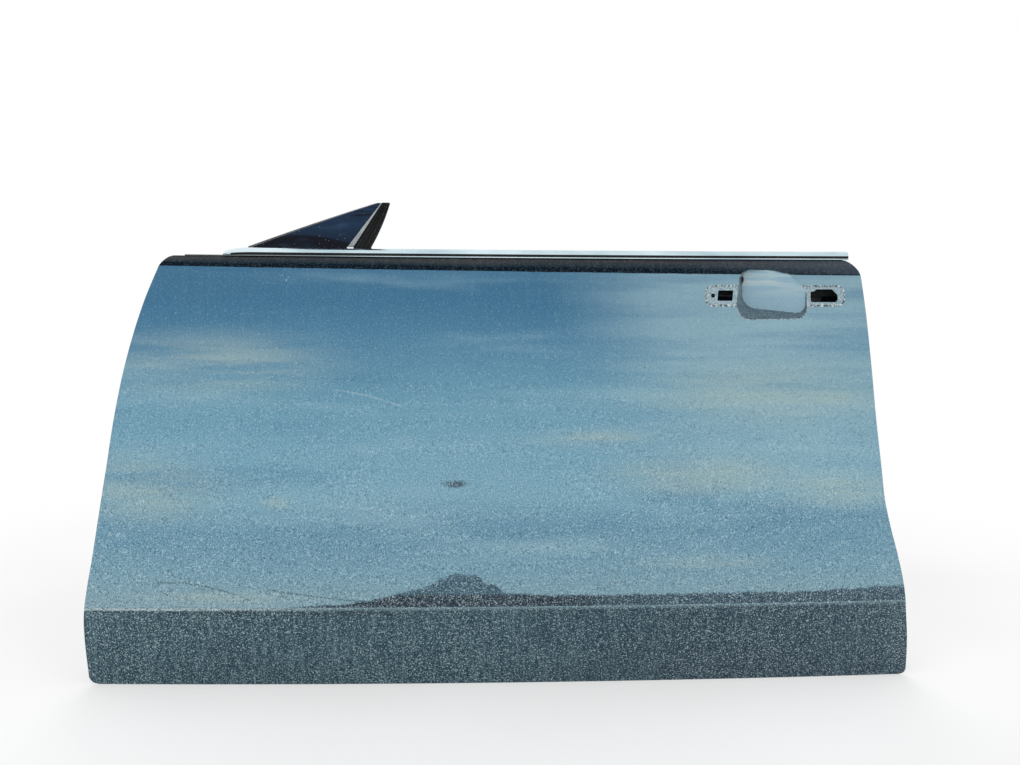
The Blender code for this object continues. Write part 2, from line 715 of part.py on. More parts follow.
def handle_hole_outlines():
    """The holes that the handle's lugs and its screw pass through, as outlines in X and Z."""
    half = FRONT_OPENING_HEIGHT / 2
    low, high = PAD_MIDDLE_HEIGHT - half, PAD_MIDDLE_HEIGHT + half
    start, end = FRONT_OPENING_START, FRONT_OPENING_START + FRONT_OPENING_LENGTH
    lean = FRONT_OPENING_LENGTH * FRONT_OPENING_LEAN_SHARE / 2
    front = [(start, low), (end - lean, low), (end, high), (start + lean, high)]
    rear = [
        (
            REAR_OPENING_START + REAR_OPENING_LENGTH * a,
            PAD_MIDDLE_HEIGHT + REAR_OPENING_HEIGHT * (b - 1 / 2),
        )
        for a, b in REAR_OPENING_SHARES
    ]
    turns = [math.tau * n / HANDLE_SCREW_SIDES for n in range(HANDLE_SCREW_SIDES)]
    screw = [
        (
            HANDLE_SCREW_PLACE + HANDLE_SCREW_RADIUS * math.cos(turn),
            PAD_MIDDLE_HEIGHT + HANDLE_SCREW_RADIUS * math.sin(turn),
        )
        for turn in turns
    ]
    return {"front_lug_hole": front, "rear_lug_hole": rear, "handle_screw_hole": screw}


def through_cutter(name, outline, y_low, y_high):
    """A prism along Y with this outline in X and Z."""
    rings = [[Vector((x, y, z)) for x, z in outline] for y in (y_low, y_high)]
    return add_cutter(name, loft(name, rings))


def pressed_recesses(skin):
    backing = add_cutter("skin_backing", block_behind("skin_backing", SKIN_GAUGE / 2, PANEL_INBOARD))
    for name, recess in HANDLE_RECESSES.items():
        bowl = add_cutter(f"{name}_bowl", recess.solid(f"{name}_bowl", SKIN_GAUGE))
        boolean(bowl, backing, "INTERSECT")
        boolean(skin, bowl, "UNION", "MANIFOLD")
    for name, recess in HANDLE_RECESSES.items():
        boolean(skin, add_cutter(f"{name}_hollow", recess.solid(f"{name}_hollow")))


def make_outer_skin():
    skin = add("outer_skin", skin_grid("outer_skin"), BODY_PAINT, 20)
    solidify(skin, HEM_STACK)
    slot = add_cutter("hem_slot", skin_grid("hem_slot", SKIN_GAUGE, SKIN_GAUGE, CUT_OVERRUN))
    solidify(slot, HEM_SLOT)
    # Two closed shells that run side by side for their whole length: EXACT loses one of them.
    boolean(skin, slot, solver="MANIFOLD")
    mid_slot = SKIN_GAUGE + HEM_SLOT / 2
    inside = add_cutter("skin_inside", skin_grid("skin_inside", HEM_WIDTH, mid_slot, CUT_OVERRUN))
    solidify(inside, HEM_STACK)
    boolean(skin, inside, solver="MANIFOLD")
    pressed_recesses(skin)
    for name, outline in handle_hole_outlines().items():
        middle = skin_y(HANDLE_SCREW_PLACE, PAD_MIDDLE_HEIGHT)
        boolean(skin, through_cutter(name, outline, middle - CUT_OVERRUN, middle + CUT_OVERRUN))
    return skin


# Inner panel
PANEL_COLUMNS = PANEL_COLUMNS_INSIDE + 2 * len(EDGE_LEVELS)


def hem_plane(x, z):
    """The inboard side of the flange that the skin's hem wraps, measured from the skin."""
    step = LENGTH / 1000
    slope = (skin_y(x, z + step) - skin_y(x, z - step)) / (2 * step)
    return skin_y(x, z) + (SKIN_GAUGE + SEAT_GAP + PANEL_GAUGE) * math.hypot(1, slope)


def belt_flange_y(x):
    return BELT_FLANGE_INBOARD + crown(x)


def panel_rows():
    """Each row as (its height at a place across, its level: 0 hem, 1 seal step, 2 field, 3 belt)."""
    flange = PANEL_FLANGE_WIDTH
    step_low = flange + 2 * STEP_WALL_RUN
    rows = [
        (lambda a: 2 * SKIN_GAUGE + SEAT_GAP, 0),
        (lambda a: flange, 0),
        (lambda a: step_low, 1),
        (lambda a: step_low + SEAL_STEP_WIDTH, 1),
        (lambda a: step_low + SEAL_STEP_WIDTH + STEP_WALL_RUN, 2),
    ]
    rows += [(lambda a, s=s: LOWER_CREASE_HEIGHT * s, 2) for s in TUCK_ROW_SHARES[4:]]
    rows += [
        (lambda a, s=s: blend(LOWER_CREASE_HEIGHT, shoulder_height(a), s), 2)
        for s in BODY_ROW_SHARES[1:-2]
    ]
    slope_top = PANEL_TOP - BELT_FLANGE_HEIGHT
    rows += [
        (lambda a: slope_top - BELT_SLOPE_HEIGHT, 2),
        (lambda a: slope_top, 3),
        (lambda a: PANEL_TOP, 3),
    ]
    return rows


def hem_inset(z):
    """How deep the flange sits in the hem: fully, but for its last stretch below the shoulder."""
    deep, shallow = 2 * SKIN_GAUGE + SEAT_GAP, HEM_WIDTH + HEM_RELIEF
    start = PANEL_TOP - 2 * BELT_FLANGE_HEIGHT
    share = min(max((z - start) / (BELT_FLANGE_HEIGHT / 2), 0), 1)
    return blend(deep, shallow, share)


def panel_point(i, j, rows):
    last = PANEL_COLUMNS - 1
    across = i / last
    edge = len(EDGE_LEVELS)
    height, level = rows[j]
    z = height(across)
    row_y = {1: SEAL_STEP_INBOARD, 2: PANEL_INBOARD, 3: PANEL_INBOARD}
    step_in = SEAL_STEP_WIDTH + STEP_WALL_RUN
    front = (
        front_edge(z, hem_inset(z)), front_wall(z, -BELT_OUT), front_wall(z, SEAL_STEP_INBOARD),
        front_wall(z, SEAL_STEP_INBOARD) + SEAL_STEP_WIDTH,
        front_wall(z, SEAL_STEP_INBOARD) + step_in,
    )
    rear = (
        rear_edge(z, hem_inset(z)), rear_wall(z, -BELT_OUT), rear_wall(z, SEAL_STEP_INBOARD),
        rear_wall(z, SEAL_STEP_INBOARD) - SEAL_STEP_WIDTH,
        rear_wall(z, SEAL_STEP_INBOARD) - step_in,
    )
    wall = None
    if i < edge:
        x, column_level = front[i], EDGE_LEVELS[i]
        wall = front_wall
    elif i > last - edge:
        x, column_level = rear[last - i], EDGE_LEVELS[last - i]
        wall = rear_wall
    else:
        x = blend(front[-1], rear[-1], (i - edge + 1) / (PANEL_COLUMNS_INSIDE + 1))
        column_level = 2
    if column_level == 0 and i in (1, last - 1):
        for _ in range(4):
            x = wall(z, hem_plane(x, z))
    if column_level == 0 or level == 0:
        return Vector((x, hem_plane(x, z), z))
    y = row_y[min(level, column_level)]
    if level == 3:
        y = min(y, belt_flange_y(x))
    return Vector((x, y, z))


def seat_slab(frame, rise, width, height, radius, shrink, low):
    """A plate on a shut face, from low to its rise, with its sides drawn in."""
    size = (rise - low, width - 2 * shrink, height - 2 * shrink)
    return slab("seat", size, frame @ Matrix.Translation(((rise + low) / 2, 0, 0)), radius - shrink)


def emboss(panel, name, frame, rise, width, height, radius):
    """Presses a flat seat out of a shut face."""
    proud = add_cutter(f"{name}_proud", seat_slab(frame, rise, width, height, radius, 0, -PANEL_GAUGE / 2))
    boolean(panel, proud, "UNION")
    hollow = add_cutter(
        f"{name}_hollow",
        seat_slab(frame, rise - PANEL_GAUGE, width, height, radius, PANEL_GAUGE, -CUT_OVERRUN / 4),
    )
    boolean(panel, hollow)


def drill(obj, name, frame, places, radius):
    """Round holes along a frame's local X."""
    for n, (y, z) in enumerate(places):
        start = frame @ Vector((-CUT_OVERRUN, y, z))
        end = frame @ Vector((CUT_OVERRUN, y, z))
        boolean(obj, add_cutter(f"{name}_{n}", rod(f"{name}_{n}", radius, start, end, 16)))


UPPER_HINGE = front_frame(UPPER_HINGE_HEIGHT, HINGE_SEAT_INBOARD)
LOWER_HINGE = front_frame(LOWER_HINGE_HEIGHT, HINGE_SEAT_INBOARD)
LATCH = rear_frame(LATCH_HEIGHT, LATCH_INBOARD)
HINGE_BOLT_PLACES = ((0, HINGE_BOLT_PITCH / 2), (0, -HINGE_BOLT_PITCH / 2))
LATCH_SCREW_PLACES = [(LATCH_SEAT_WIDTH * a, LATCH_SEAT_HEIGHT * b) for a, b in LATCH_SCREW_SHARES]


def box_of(shares):
    """The left, right, low and high edges of a box drawn on the door."""
    left, right, low, high = shares
    return LENGTH * left, LENGTH * right, BELT_HEIGHT * low, BELT_HEIGHT * high


def make_inner_panel():
    rows = panel_rows()
    mesh = grid_mesh(
        "inner_panel", PANEL_COLUMNS, len(rows), lambda i, j: panel_point(i, j, rows)
    )
    panel = add("inner_panel", mesh, INNER_PAINT, 30)
    solidify(panel, PANEL_GAUGE, 1, even=False)
    for name, frame in {"upper_seat": UPPER_HINGE, "lower_seat": LOWER_HINGE}.items():
        emboss(
            panel, name, frame, HINGE_SEAT_RISE, HINGE_SEAT_WIDTH, HINGE_SEAT_HEIGHT,
            HINGE_SEAT_RADIUS,
        )
        drill(panel, f"{name}_bolt", frame, HINGE_BOLT_PLACES, HINGE_BOLT_RADIUS)
    emboss(
        panel, "latch_seat", LATCH, LATCH_SEAT_RISE, LATCH_SEAT_WIDTH, LATCH_SEAT_HEIGHT,
        HINGE_SEAT_RADIUS,
    )
    drill(panel, "latch_screw", LATCH, LATCH_SCREW_PLACES, LATCH_SCREW_RADIUS)
    boolean(panel, latch_cutter("latch_opening"))
    boolean(panel, check_strap_cutter("check_strap_opening"))
    near, far = PANEL_INBOARD - CUT_OVERRUN / 4, PANEL_INBOARD + CUT_OVERRUN / 4
    ring(panel, near, far)
    apertures = {
        "front_aperture": (FRONT_APERTURE_SHARES, FRONT_APERTURE_RADIUS),
        "rear_aperture": (REAR_APERTURE_SHARES, REAR_APERTURE_RADIUS),
    }
    for name, (shares, radius) in apertures.items():
        outline = rounded_outline(*box_of(shares), (radius,) * 4, 6)
        boolean(panel, through_cutter(name, outline, near, far))
    for n, (x, z) in enumerate(plug_places()):
        cutter = rod(f"plug_hole_{n}", PLUG_HOLE_RADIUS, (x, near, z), (x, far, z))
        boolean(panel, add_cutter(f"plug_hole_{n}", cutter))
    drains(panel)
    return panel


def latch_cutter(name):
    size = (2 * CUT_OVERRUN, LATCH_OPENING_WIDTH, LATCH_OPENING_HEIGHT)
    return add_cutter(name, slab(name, size, LATCH, LATCH_OPENING_WIDTH / 3))


def check_strap_cutter(name):
    frame = front_frame(CHECK_STRAP_MIDDLE, HINGE_SEAT_INBOARD)
    size = (2 * CUT_OVERRUN, CHECK_STRAP_WIDTH, CHECK_STRAP_HEIGHT)
    return add_cutter(name, slab(name, size, frame, CHECK_STRAP_WIDTH / 3))


def ring(panel, near, far):
    """The raised seat round the speaker hole."""
    x, z = LENGTH * SPEAKER_SHARES[0], BELT_HEIGHT * SPEAKER_SHARES[1]
    top = PANEL_INBOARD + SPEAKER_RISE
    outer = SPEAKER_RADIUS + SPEAKER_RING
    proud = rod("speaker_proud", outer, (x, PANEL_INBOARD - PANEL_GAUGE / 2, z), (x, top, z), 32)
    boolean(panel, add_cutter("speaker_proud", proud), "UNION")
    hollow = rod(
        "speaker_hollow", outer - PANEL_GAUGE, (x, near, z), (x, top - PANEL_GAUGE, z), 32
    )
    boolean(panel, add_cutter("speaker_hollow", hollow))
    hole = rod("speaker_hole", SPEAKER_RADIUS, (x, near, z), (x, far, z), 32)
    boolean(panel, add_cutter("speaker_hole", hole))


def drains(panel):
    """Slots in the panel's lowest wall, where water leaves the door."""
    middle = (SEAL_STEP_INBOARD - HEM_OUT) / 2
    half, end = DRAIN_LENGTH / 2, DRAIN_WIDTH / 2
    for n, share in enumerate(DRAIN_SHARES):
        x = LENGTH * share
        outline = rounded_outline(
            x - half, x + half, middle - end, middle + end, (end - SEAT_GAP,) * 4, 3
        )
        rings = [[Vector((a, b, z)) for a, b in outline] for z in (0, 2 * CUT_OVERRUN)]
        boolean(panel, add_cutter(f"drain_{n}", loft(f"drain_{n}", rings)))


# Hinge, latch and beam reinforcements on the shut faces
def behind_wall(frame, layer_start, gauge):
    """A frame in the middle of a plate that starts this far behind the wall's outer side."""
    return frame @ Matrix.Translation((-(layer_start + gauge / 2), 0, 0))


PLATE_START = PANEL_GAUGE + SEAT_GAP
BRACKET_START = PLATE_START + REINFORCEMENT_GAUGE + SEAT_GAP


def make_hinge_plates():
    middle = front_frame(HINGE_REINFORCEMENT_MIDDLE, HINGE_SEAT_INBOARD)
    frame = behind_wall(middle, PLATE_START, REINFORCEMENT_GAUGE)
    size = (REINFORCEMENT_GAUGE, HINGE_REINFORCEMENT_WIDTH, HINGE_REINFORCEMENT_HEIGHT)
    plate = add("hinge_reinforcement", slab("plate", size, frame, HINGE_SEAT_RADIUS), BARE_STEEL)
    boolean(plate, check_strap_cutter("check_strap_plate_opening"))
    for name, seat in {"upper": UPPER_HINGE, "lower": LOWER_HINGE}.items():
        drill(plate, f"{name}_plate_bolt", seat, HINGE_BOLT_PLACES, HINGE_BOLT_RADIUS)
        shrink = PANEL_GAUGE + SEAT_GAP
        mesh = seat_slab(
            seat, HINGE_SEAT_RISE - shrink, HINGE_SEAT_WIDTH, HINGE_SEAT_HEIGHT,
            HINGE_SEAT_RADIUS, shrink, -PANEL_GAUGE,
        )
        nut_plate = add(f"{name}_hinge_nut_plate", mesh, BARE_STEEL)
        drill(nut_plate, f"{name}_nut", seat, HINGE_BOLT_PLACES, HINGE_BOLT_RADIUS)


def make_latch_reinforcement():
    frame = behind_wall(LATCH, PLATE_START, REINFORCEMENT_GAUGE)
    size = (REINFORCEMENT_GAUGE, LATCH_REINFORCEMENT_WIDTH, LATCH_REINFORCEMENT_HEIGHT)
    plate = add("latch_reinforcement", slab("plate", size, frame, HINGE_SEAT_RADIUS), BARE_STEEL)
    boolean(plate, latch_cutter("latch_plate_opening"))
    drill(plate, "latch_plate_screw", LATCH, LATCH_SCREW_PLACES, LATCH_SCREW_RADIUS)


def make_beam():
    """The tube behind the skin, with a plate at each end on the shut faces."""
    front = front_frame(BEAM_FRONT_HEIGHT, -BEAM_OUT)
    rear = rear_frame(BEAM_REAR_HEIGHT, -BEAM_OUT)
    ends = (front.translation, rear.translation)
    beam = add("intrusion_beam", rod("beam", BEAM_RADIUS, *ends, 16), BARE_STEEL, 60)
    along = (ends[1] - ends[0]).normalized() * CUT_OVERRUN
    bore = rod("beam_bore", BEAM_RADIUS - BEAM_WALL, ends[0] - along, ends[1] + along, 16)
    boolean(beam, add_cutter("beam_bore", bore))
    gauge = REINFORCEMENT_GAUGE
    size = (gauge, BEAM_BRACKET_WIDTH, BEAM_BRACKET_HEIGHT)
    starts = {"front": (front, BRACKET_START), "rear": (rear, PLATE_START)}
    for name, (frame, start) in starts.items():
        place = behind_wall(frame, start, gauge)
        add(f"beam_{name}_bracket", slab("bracket", size, place, HINGE_SEAT_RADIUS), BARE_STEEL)
        reach = start + gauge + SEAT_GAP
        trim_size = (reach + CUT_OVERRUN, 4 * BEAM_RADIUS, 4 * BEAM_RADIUS)
        trim_place = frame @ Matrix.Translation(((CUT_OVERRUN - reach) / 2, 0, 0))
        boolean(beam, add_cutter(f"beam_{name}_trim", slab("trim", trim_size, trim_place)))
    return ends


def make_flutter_pads(ends):
    """Mastic between the beam and the skin, which stops the skin drumming."""
    outside = add_cutter("skin_outside", skin_grid("skin_outside", 0, SKIN_GAUGE + SEAT_GAP))
    solidify(outside, CUT_OVERRUN * 2, 1)
    for n, share in enumerate(FLUTTER_PAD_SHARES):
        middle = ends[0].lerp(ends[1], share)
        start = (middle.x, skin_y(middle.x, middle.z) - SKIN_GAUGE, middle.z)
        name = f"anti_flutter_pad_{n + 1}"
        pad = add(name, rod(name, FLUTTER_PAD_RADIUS, start, middle, 14), MASTIC, 60)
        boolean(pad, outside)
        along = (ends[1] - ends[0]).normalized() * CUT_OVERRUN * 2
        sleeve = rod(f"{name}_sleeve", BEAM_RADIUS + SEAT_GAP, middle - along, middle + along, 16)
        boolean(pad, add_cutter(f"{name}_sleeve", sleeve))


def make_damping_pad():
    left, right, low, high = box_of(DAMPING_PAD_SHARES)

    def point(i, j):
        x = blend(left, right, i / (DAMPING_PAD_COLUMNS - 1))
        z = blend(low, high, j / (DAMPING_PAD_ROWS - 1))
        return Vector((x, skin_y(x, z) + SKIN_GAUGE + 2 * SEAT_GAP, z))

    mesh = grid_mesh("damping_pad", DAMPING_PAD_COLUMNS, DAMPING_PAD_ROWS, point)
    solidify(add("damping_pad", mesh, MASTIC), DAMPING_PAD_THICKNESS)


def make_handle_doublers():
    """A thicker plate behind each landing pad, with the same holes."""
    places = {
        "front": (FRONT_PAD, FRONT_PAD_START, CUP_LEFT - PAD_LAP, ("front_lug_hole", "handle_screw_hole")),
        "rear": (REAR_PAD, CUP_RIGHT + PAD_LAP, REAR_PAD_END, ("rear_lug_hole",)),
    }
    half = PAD_HEIGHT / 2 - PAD_SINK
    for name, (pad, left, right, holes) in places.items():
        outline = rounded_outline(
            left + PAD_SINK, right - PAD_SINK, PAD_MIDDLE_HEIGHT - half, PAD_MIDDLE_HEIGHT + half,
            (PAD_LAP,) * 4, 3,
        )
        near = SKIN_GAUGE + SEAT_GAP
        rings = [
            [Vector((x, pad.floor_y(x, z, depth), z)) for x, z in outline]
            for depth in (near, near + REINFORCEMENT_GAUGE)
        ]
        plate = add(f"handle_{name}_doubler", loft("doubler", rings), BARE_STEEL)
        for hole in holes:
            boolean(plate, bpy.data.objects[hole])


# Waist: reinforcements, seals and the bright moulding
def inside_of(wall, z, y, gap):
    """Where a piece that meets a shut face from inside the door ends."""
    frame = wall_frame(wall, z, y, -1 if wall is front_wall else 1)
    reach = (PANEL_GAUGE + gap) / abs(frame.col[0].x)
    return wall(z, y) + (reach if wall is front_wall else -reach)


def make_outer_waist_reinforcement():
    heights = (WAIST_LIP_LOW, WAIST_LEG_LOW, (WAIST_LEG_LOW + BELT_HEIGHT) / 2, BELT_HEIGHT)

    def point(i, j):
        z = heights[j]
        middle = LENGTH / 2

        def y_at(x):
            leg = glass_y(x, z) - WAIST_LEG_OFFSET
            return crown(x) - WAIST_LIP_OUT if j == 0 else leg

        front = inside_of(front_wall, z, y_at(LENGTH * FRONT_WALL_SHARES[-1][1]), 3 * SEAT_GAP)
        rear = inside_of(rear_wall, z, y_at(LENGTH * REAR_WALL_SHARES[-1][1]), 3 * SEAT_GAP)
        x = blend(front, rear, i / (WAIST_STATIONS - 1))
        return Vector((x, y_at(x), z))

    mesh = grid_mesh("outer_waist_reinforcement", WAIST_STATIONS, len(heights), point)
    solidify(add("outer_waist_reinforcement", mesh, BARE_STEEL), REINFORCEMENT_GAUGE, 0)


def make_inner_waist_reinforcement():
    low = PANEL_TOP - BELT_FLANGE_HEIGHT + PANEL_GAUGE
    heights = (low, PANEL_TOP - PANEL_GAUGE)
    inset = SEAL_STEP_WIDTH + 2 * STEP_WALL_RUN

    def point(i, j):
        z = heights[j]
        front = front_wall(z, SEAL_STEP_INBOARD) + inset
        rear = rear_wall(z, SEAL_STEP_INBOARD) - inset
        x = blend(front, rear, i / (WAIST_STATIONS - 1))
        return Vector((x, belt_flange_y(x) - PANEL_GAUGE - SEAT_GAP, z))

    mesh = grid_mesh("inner_waist_reinforcement", WAIST_STATIONS, len(heights), point)
    solidify(add("inner_waist_reinforcement", mesh, BARE_STEEL), REINFORCEMENT_GAUGE, 1)


def waist_sweep(name, section, start, end, material, stations=WAIST_STATIONS):
    """A section of (inboards, above the belt) swept along the belt line."""
    rings = []
    for n in range(stations):
        x = blend(start, end, n / (stations - 1))
        rings.append([Vector((x, crown(x) + y, BELT_HEIGHT + z)) for y, z in section])
    return add(name, loft(name, rings), material)


def seal_section(shares, gap, width, rise, side):
    """A seal's section from its shares. side is 1 inboards of the glass, -1 outboards."""
    return [
        (side * (gap + width * a), b * (rise if b > 0 else SEAL_FOOT)) for a, b in shares
    ]


def make_waist_seals():
    outer = seal_section(OUTER_SEAL_SHARES, OUTER_SEAL_GAP, OUTER_SEAL_WIDTH, OUTER_SEAL_RISE, -1)
    inner = seal_section(INNER_SEAL_SHARES, INNER_SEAL_GAP, INNER_SEAL_WIDTH, INNER_SEAL_RISE, 1)
    outer_end = rear_wall(BELT_HEIGHT, 0) - SEAL_END_CLEARANCE
    inner_end = rear_wall(PANEL_TOP, SEAL_STEP_INBOARD) - SEAL_STEP_WIDTH - 2 * STEP_WALL_RUN
    waist_sweep("outer_waist_seal", outer, SEAL_START, outer_end, BLACK_RUBBER)
    waist_sweep("inner_waist_seal", inner, SEAL_START, inner_end, BLACK_RUBBER)


def make_waist_moulding():
    """A bright channel over the skin's top edge, pointed at the front and cut square at the rear."""
    places = [MOULDING_START + MOULDING_TIP * share for share in MOULDING_TIP_SHARES]
    tip_end = places[-1]
    places += [
        blend(tip_end, MOULDING_END, (n + 1) / MOULDING_STATIONS) for n in range(MOULDING_STATIONS)
    ]
    outboard = -(BELT_OUT + MOULDING_OVERHANG)
    rings = []
    for x in places:
        share = min((x - MOULDING_START) / MOULDING_TIP, 1)
        size = blend(MOULDING_NOSE_SHARE, 1, math.sqrt(share * (2 - share)))
        rings.append([
            Vector((
                x,
                crown(x) + outboard + MOULDING_WIDTH * a,
                BELT_HEIGHT + SEAT_GAP + MOULDING_HEIGHT * b * size,
            ))
            for a, b in MOULDING_SECTION_SHARES
        ])
    add("waist_moulding", loft("waist_moulding", rings), BRIGHT_TRIM, 25)


# Sail panel, its bright strip and its seal
def sail_y(x, z, inward=0):
    return glass_y(x, z) - SAIL_OUT + inward


def on_line(low, high, z):
    """X at height z on the line from the belt to the sail's tip."""
    return blend(low, high, (z - SAIL_BASE) / (SAIL_TOP - SAIL_BASE))


def sail_outline(inset=0):
    """The sail's outline: foot, rear edge, tip, then the bowed front edge."""
    points = [
        (SAIL_FRONT - SAIL_DEPTH / 3, SAIL_FOOT), (SAIL_BASE_REAR, SAIL_FOOT),
        (SAIL_BASE_REAR, SAIL_BASE), (SAIL_TIP_REAR, SAIL_TOP), (SAIL_TIP_FRONT, SAIL_TOP),
    ]
    steps = 6
    for n in range(1, steps + 1):
        share = n / steps
        bow = SAIL_BOW * 4 * share * (1 - share)
        points.append((
            blend(SAIL_TIP_FRONT, SAIL_FRONT, share),
            blend(SAIL_TOP, SAIL_BASE, share) + bow,
        ))
    if not inset:
        return points
    # Each side moved in by the inset, and each corner put where its two sides then cross.
    moved = []
    for n, point in enumerate(points):
        before, after = Vector(points[n - 1]), Vector(points[(n + 1) % len(points)])
        here = Vector(point)
        side_in = (here - before).normalized()
        side_out = (after - here).normalized()
        normal_in, normal_out = (Vector((-s.y, s.x)) for s in (side_in, side_out))
        mitre = (normal_in + normal_out).normalized()
        reach = inset / max(mitre.dot(normal_in), SAIL_MITRE_SHARE)
        moved.append(tuple(here + mitre * reach))
    return moved


def sail_prism(name, outline, near, far):
    rings = [[Vector((x, sail_y(x, z, depth), z)) for x, z in outline] for depth in (near, far)]
    return loft(name, rings)


def make_sail():
    sail = add("sail_panel", sail_prism("sail_panel", sail_outline(), 0, SAIL_DEPTH), BODY_PAINT)
    hollow = sail_prism(
        "sail_hollow", sail_outline(SAIL_GAUGE), SAIL_GAUGE, SAIL_DEPTH + CUT_OVERRUN
    )
    boolean(sail, add_cutter("sail_hollow", hollow))


def make_sail_bracket():
    """Ties the sail to the inner panel's waist."""
    clear = SAIL_GAUGE + SEAT_GAP
    near = SAIL_DEPTH + SEAT_GAP
    plate = sail_prism("sail_bracket", sail_outline(clear), near, near + REINFORCEMENT_GAUGE)
    bracket = add("sail_bracket", plate, BARE_STEEL)
    face = BELT_FLANGE_INBOARD - PANEL_GAUGE - REINFORCEMENT_GAUGE - 2 * SEAT_GAP
    low = BELT_HEIGHT - SAIL_BRACKET_DROP
    outline = (
        (SAIL_BRACKET_FRONT, low), (SAIL_BRACKET_REAR, low), (SAIL_BRACKET_REAR, SAIL_BASE),
        (SAIL_BRACKET_FRONT, SAIL_BASE),
    )
    rings = [
        [Vector((x, crown(x) + y, z)) for x, z in outline]
        for y in (face - REINFORCEMENT_GAUGE, face)
    ]
    foot = add_cutter("sail_bracket_foot", loft("foot", rings))
    boolean(bracket, foot, "UNION")
    shelf_low, shelf_high = SAIL_BASE - 2 * REINFORCEMENT_GAUGE, SAIL_BASE - REINFORCEMENT_GAUGE / 2
    rings = []
    for z in (shelf_low, shelf_high):
        corners = []
        for x in (SAIL_BRACKET_FRONT, SAIL_BRACKET_REAR):
            inner = crown(x) + face - REINFORCEMENT_GAUGE / 2
            outer = sail_y(x, z, near + REINFORCEMENT_GAUGE / 2)
            corners.append([Vector((x, outer, z)), Vector((x, inner, z))])
        rings.append([corners[0][0], corners[1][0], corners[1][1], corners[0][1]])
    boolean(bracket, add_cutter("sail_bracket_shelf", loft("shelf", rings)), "UNION")


def make_sail_strip():
    rings = []
    for n in range(5):
        z = blend(SAIL_BASE, SAIL_TOP, n / 4)
        left = on_line(SAIL_BASE_REAR, SAIL_TIP_REAR, z) + SEAT_GAP
        right = on_line(STRIP_BASE_REAR, STRIP_TIP_REAR, z)
        near, far = -STRIP_PROUD, SAIL_DEPTH
        rings.append([
            Vector((left, sail_y(left, z, near), z)), Vector((right, sail_y(right, z, near), z)),
            Vector((right, sail_y(right, z, far), z)), Vector((left, sail_y(left, z, far), z)),
        ])
    add("sail_edge_strip", loft("sail_edge_strip", rings), GREY_TRIM)


def make_sail_seal():
    """The rubber corner piece that takes the front edge of the glass."""
    rings = []
    heights = [SAIL_FOOT, SAIL_BASE] + [blend(SAIL_BASE, SAIL_TOP, n / 5) for n in range(1, 6)]
    for z in heights:
        share = max((z - SAIL_BASE) / (SAIL_TOP - SAIL_BASE), 0)
        held = max(z, SAIL_BASE)
        left = on_line(STRIP_BASE_REAR, STRIP_TIP_REAR, held) + SEAT_GAP
        right = on_line(SAIL_SEAL_BASE_REAR, SAIL_SEAL_TIP_REAR, held)
        right += SAIL_SEAL_BOW * 4 * share * (1 - share)
        slot = left + min(GLASS_SLOT_WALL, (right - left) / 2)
        depth = SAIL_SEAL_DEPTH
        lip = SAIL_SEAL_LIP
        section = (
            (left, 0), (right, 0), (right, lip), (slot, lip), (slot, depth - lip),
            (right - lip / 2, depth - lip), (right - lip / 2, depth), (left, depth),
        )
        rings.append([Vector((x, sail_y(x, z, inward), z)) for x, inward in section])
    add("sail_seal", loft("sail_seal", rings), BLACK_RUBBER)


# Glass guides
def front_guide_x(z):
    return FRONT_GUIDE_TOP_X - FRONT_GUIDE_SLOPE * (GUIDE_TOP - z)


def rear_guide_x(z):
    return LENGTH - REAR_GUIDE_SETBACK


def strip_mesh(name, rings):
    """An open surface through rings of as many points each, for Solidify to thicken."""
    return grid_mesh(name, len(rings), len(rings[0]), lambda i, j: rings[i][j])


def channel(name, x_at, low, opens, wall, clear, outwards, material):
    """A U-section along the glass line, its sheet clear of the guide's outside. opens is 1 to the
    rear, -1 to the front. outwards is 1 to thicken away from the glass, -1 towards it."""
    rings = []
    half = GUIDE_DEPTH / 2 - clear
    for n in range(GUIDE_STATIONS):
        z = blend(low, GUIDE_TOP, n / (GUIDE_STATIONS - 1))
        closed = x_at(z) - opens * (GUIDE_WIDTH / 2 - clear)
        end = x_at(z) + opens * (GUIDE_WIDTH / 2 - clear)
        section = ((end, -half), (closed, -half), (closed, half), (end, half))
        rings.append([Vector((x, glass_y(x, z) + y, z)) for x, y in section])
    solidify(add(name, strip_mesh(name, rings), material), wall, opens * outwards)


def make_guides():
    runs = {
        "front": (front_guide_x, FRONT_GUIDE_LENGTH, 1),
        "rear": (rear_guide_x, REAR_GUIDE_LENGTH, -1),
    }
    gauge = REINFORCEMENT_GAUGE
    for name, (x_at, length, opens) in runs.items():
        low = GUIDE_TOP - length
        channel(f"{name}_glass_guide", x_at, low, opens, gauge, gauge, 1, BARE_STEEL)
        clear = gauge + SEAT_GAP
        channel(f"{name}_glass_run", x_at, low, opens, RUN_WALL, clear, -1, BLACK_RUBBER)
        make_guide_bracket(name, x_at, low)


def make_guide_bracket(name, x_at, low):
    """Ties the lower end of a guide to the inner panel."""
    z = low + GUIDE_FOOT_HEIGHT
    x = x_at(z)
    half = GUIDE_WIDTH / 2
    start = max(glass_y(x + side * half, z) for side in (-1, 1)) + GUIDE_DEPTH / 2 + SEAT_GAP
    end = PANEL_INBOARD - PANEL_GAUGE - SEAT_GAP
    foot = GUIDE_FOOT_HEIGHT / 2
    section = ((start, z - foot), (start, z), (end, z), (end, z - foot))
    rings = [[Vector((x + side * half, y, h)) for y, h in section] for side in (-1, 1)]
    bracket = add(f"{name}_guide_bracket", strip_mesh("bracket", rings), BARE_STEEL)
    solidify(bracket, REINFORCEMENT_GAUGE, -1)


def plug_places():
    return [(LENGTH * a, BELT_HEIGHT * b) for a, b in PLUG_SHARES]


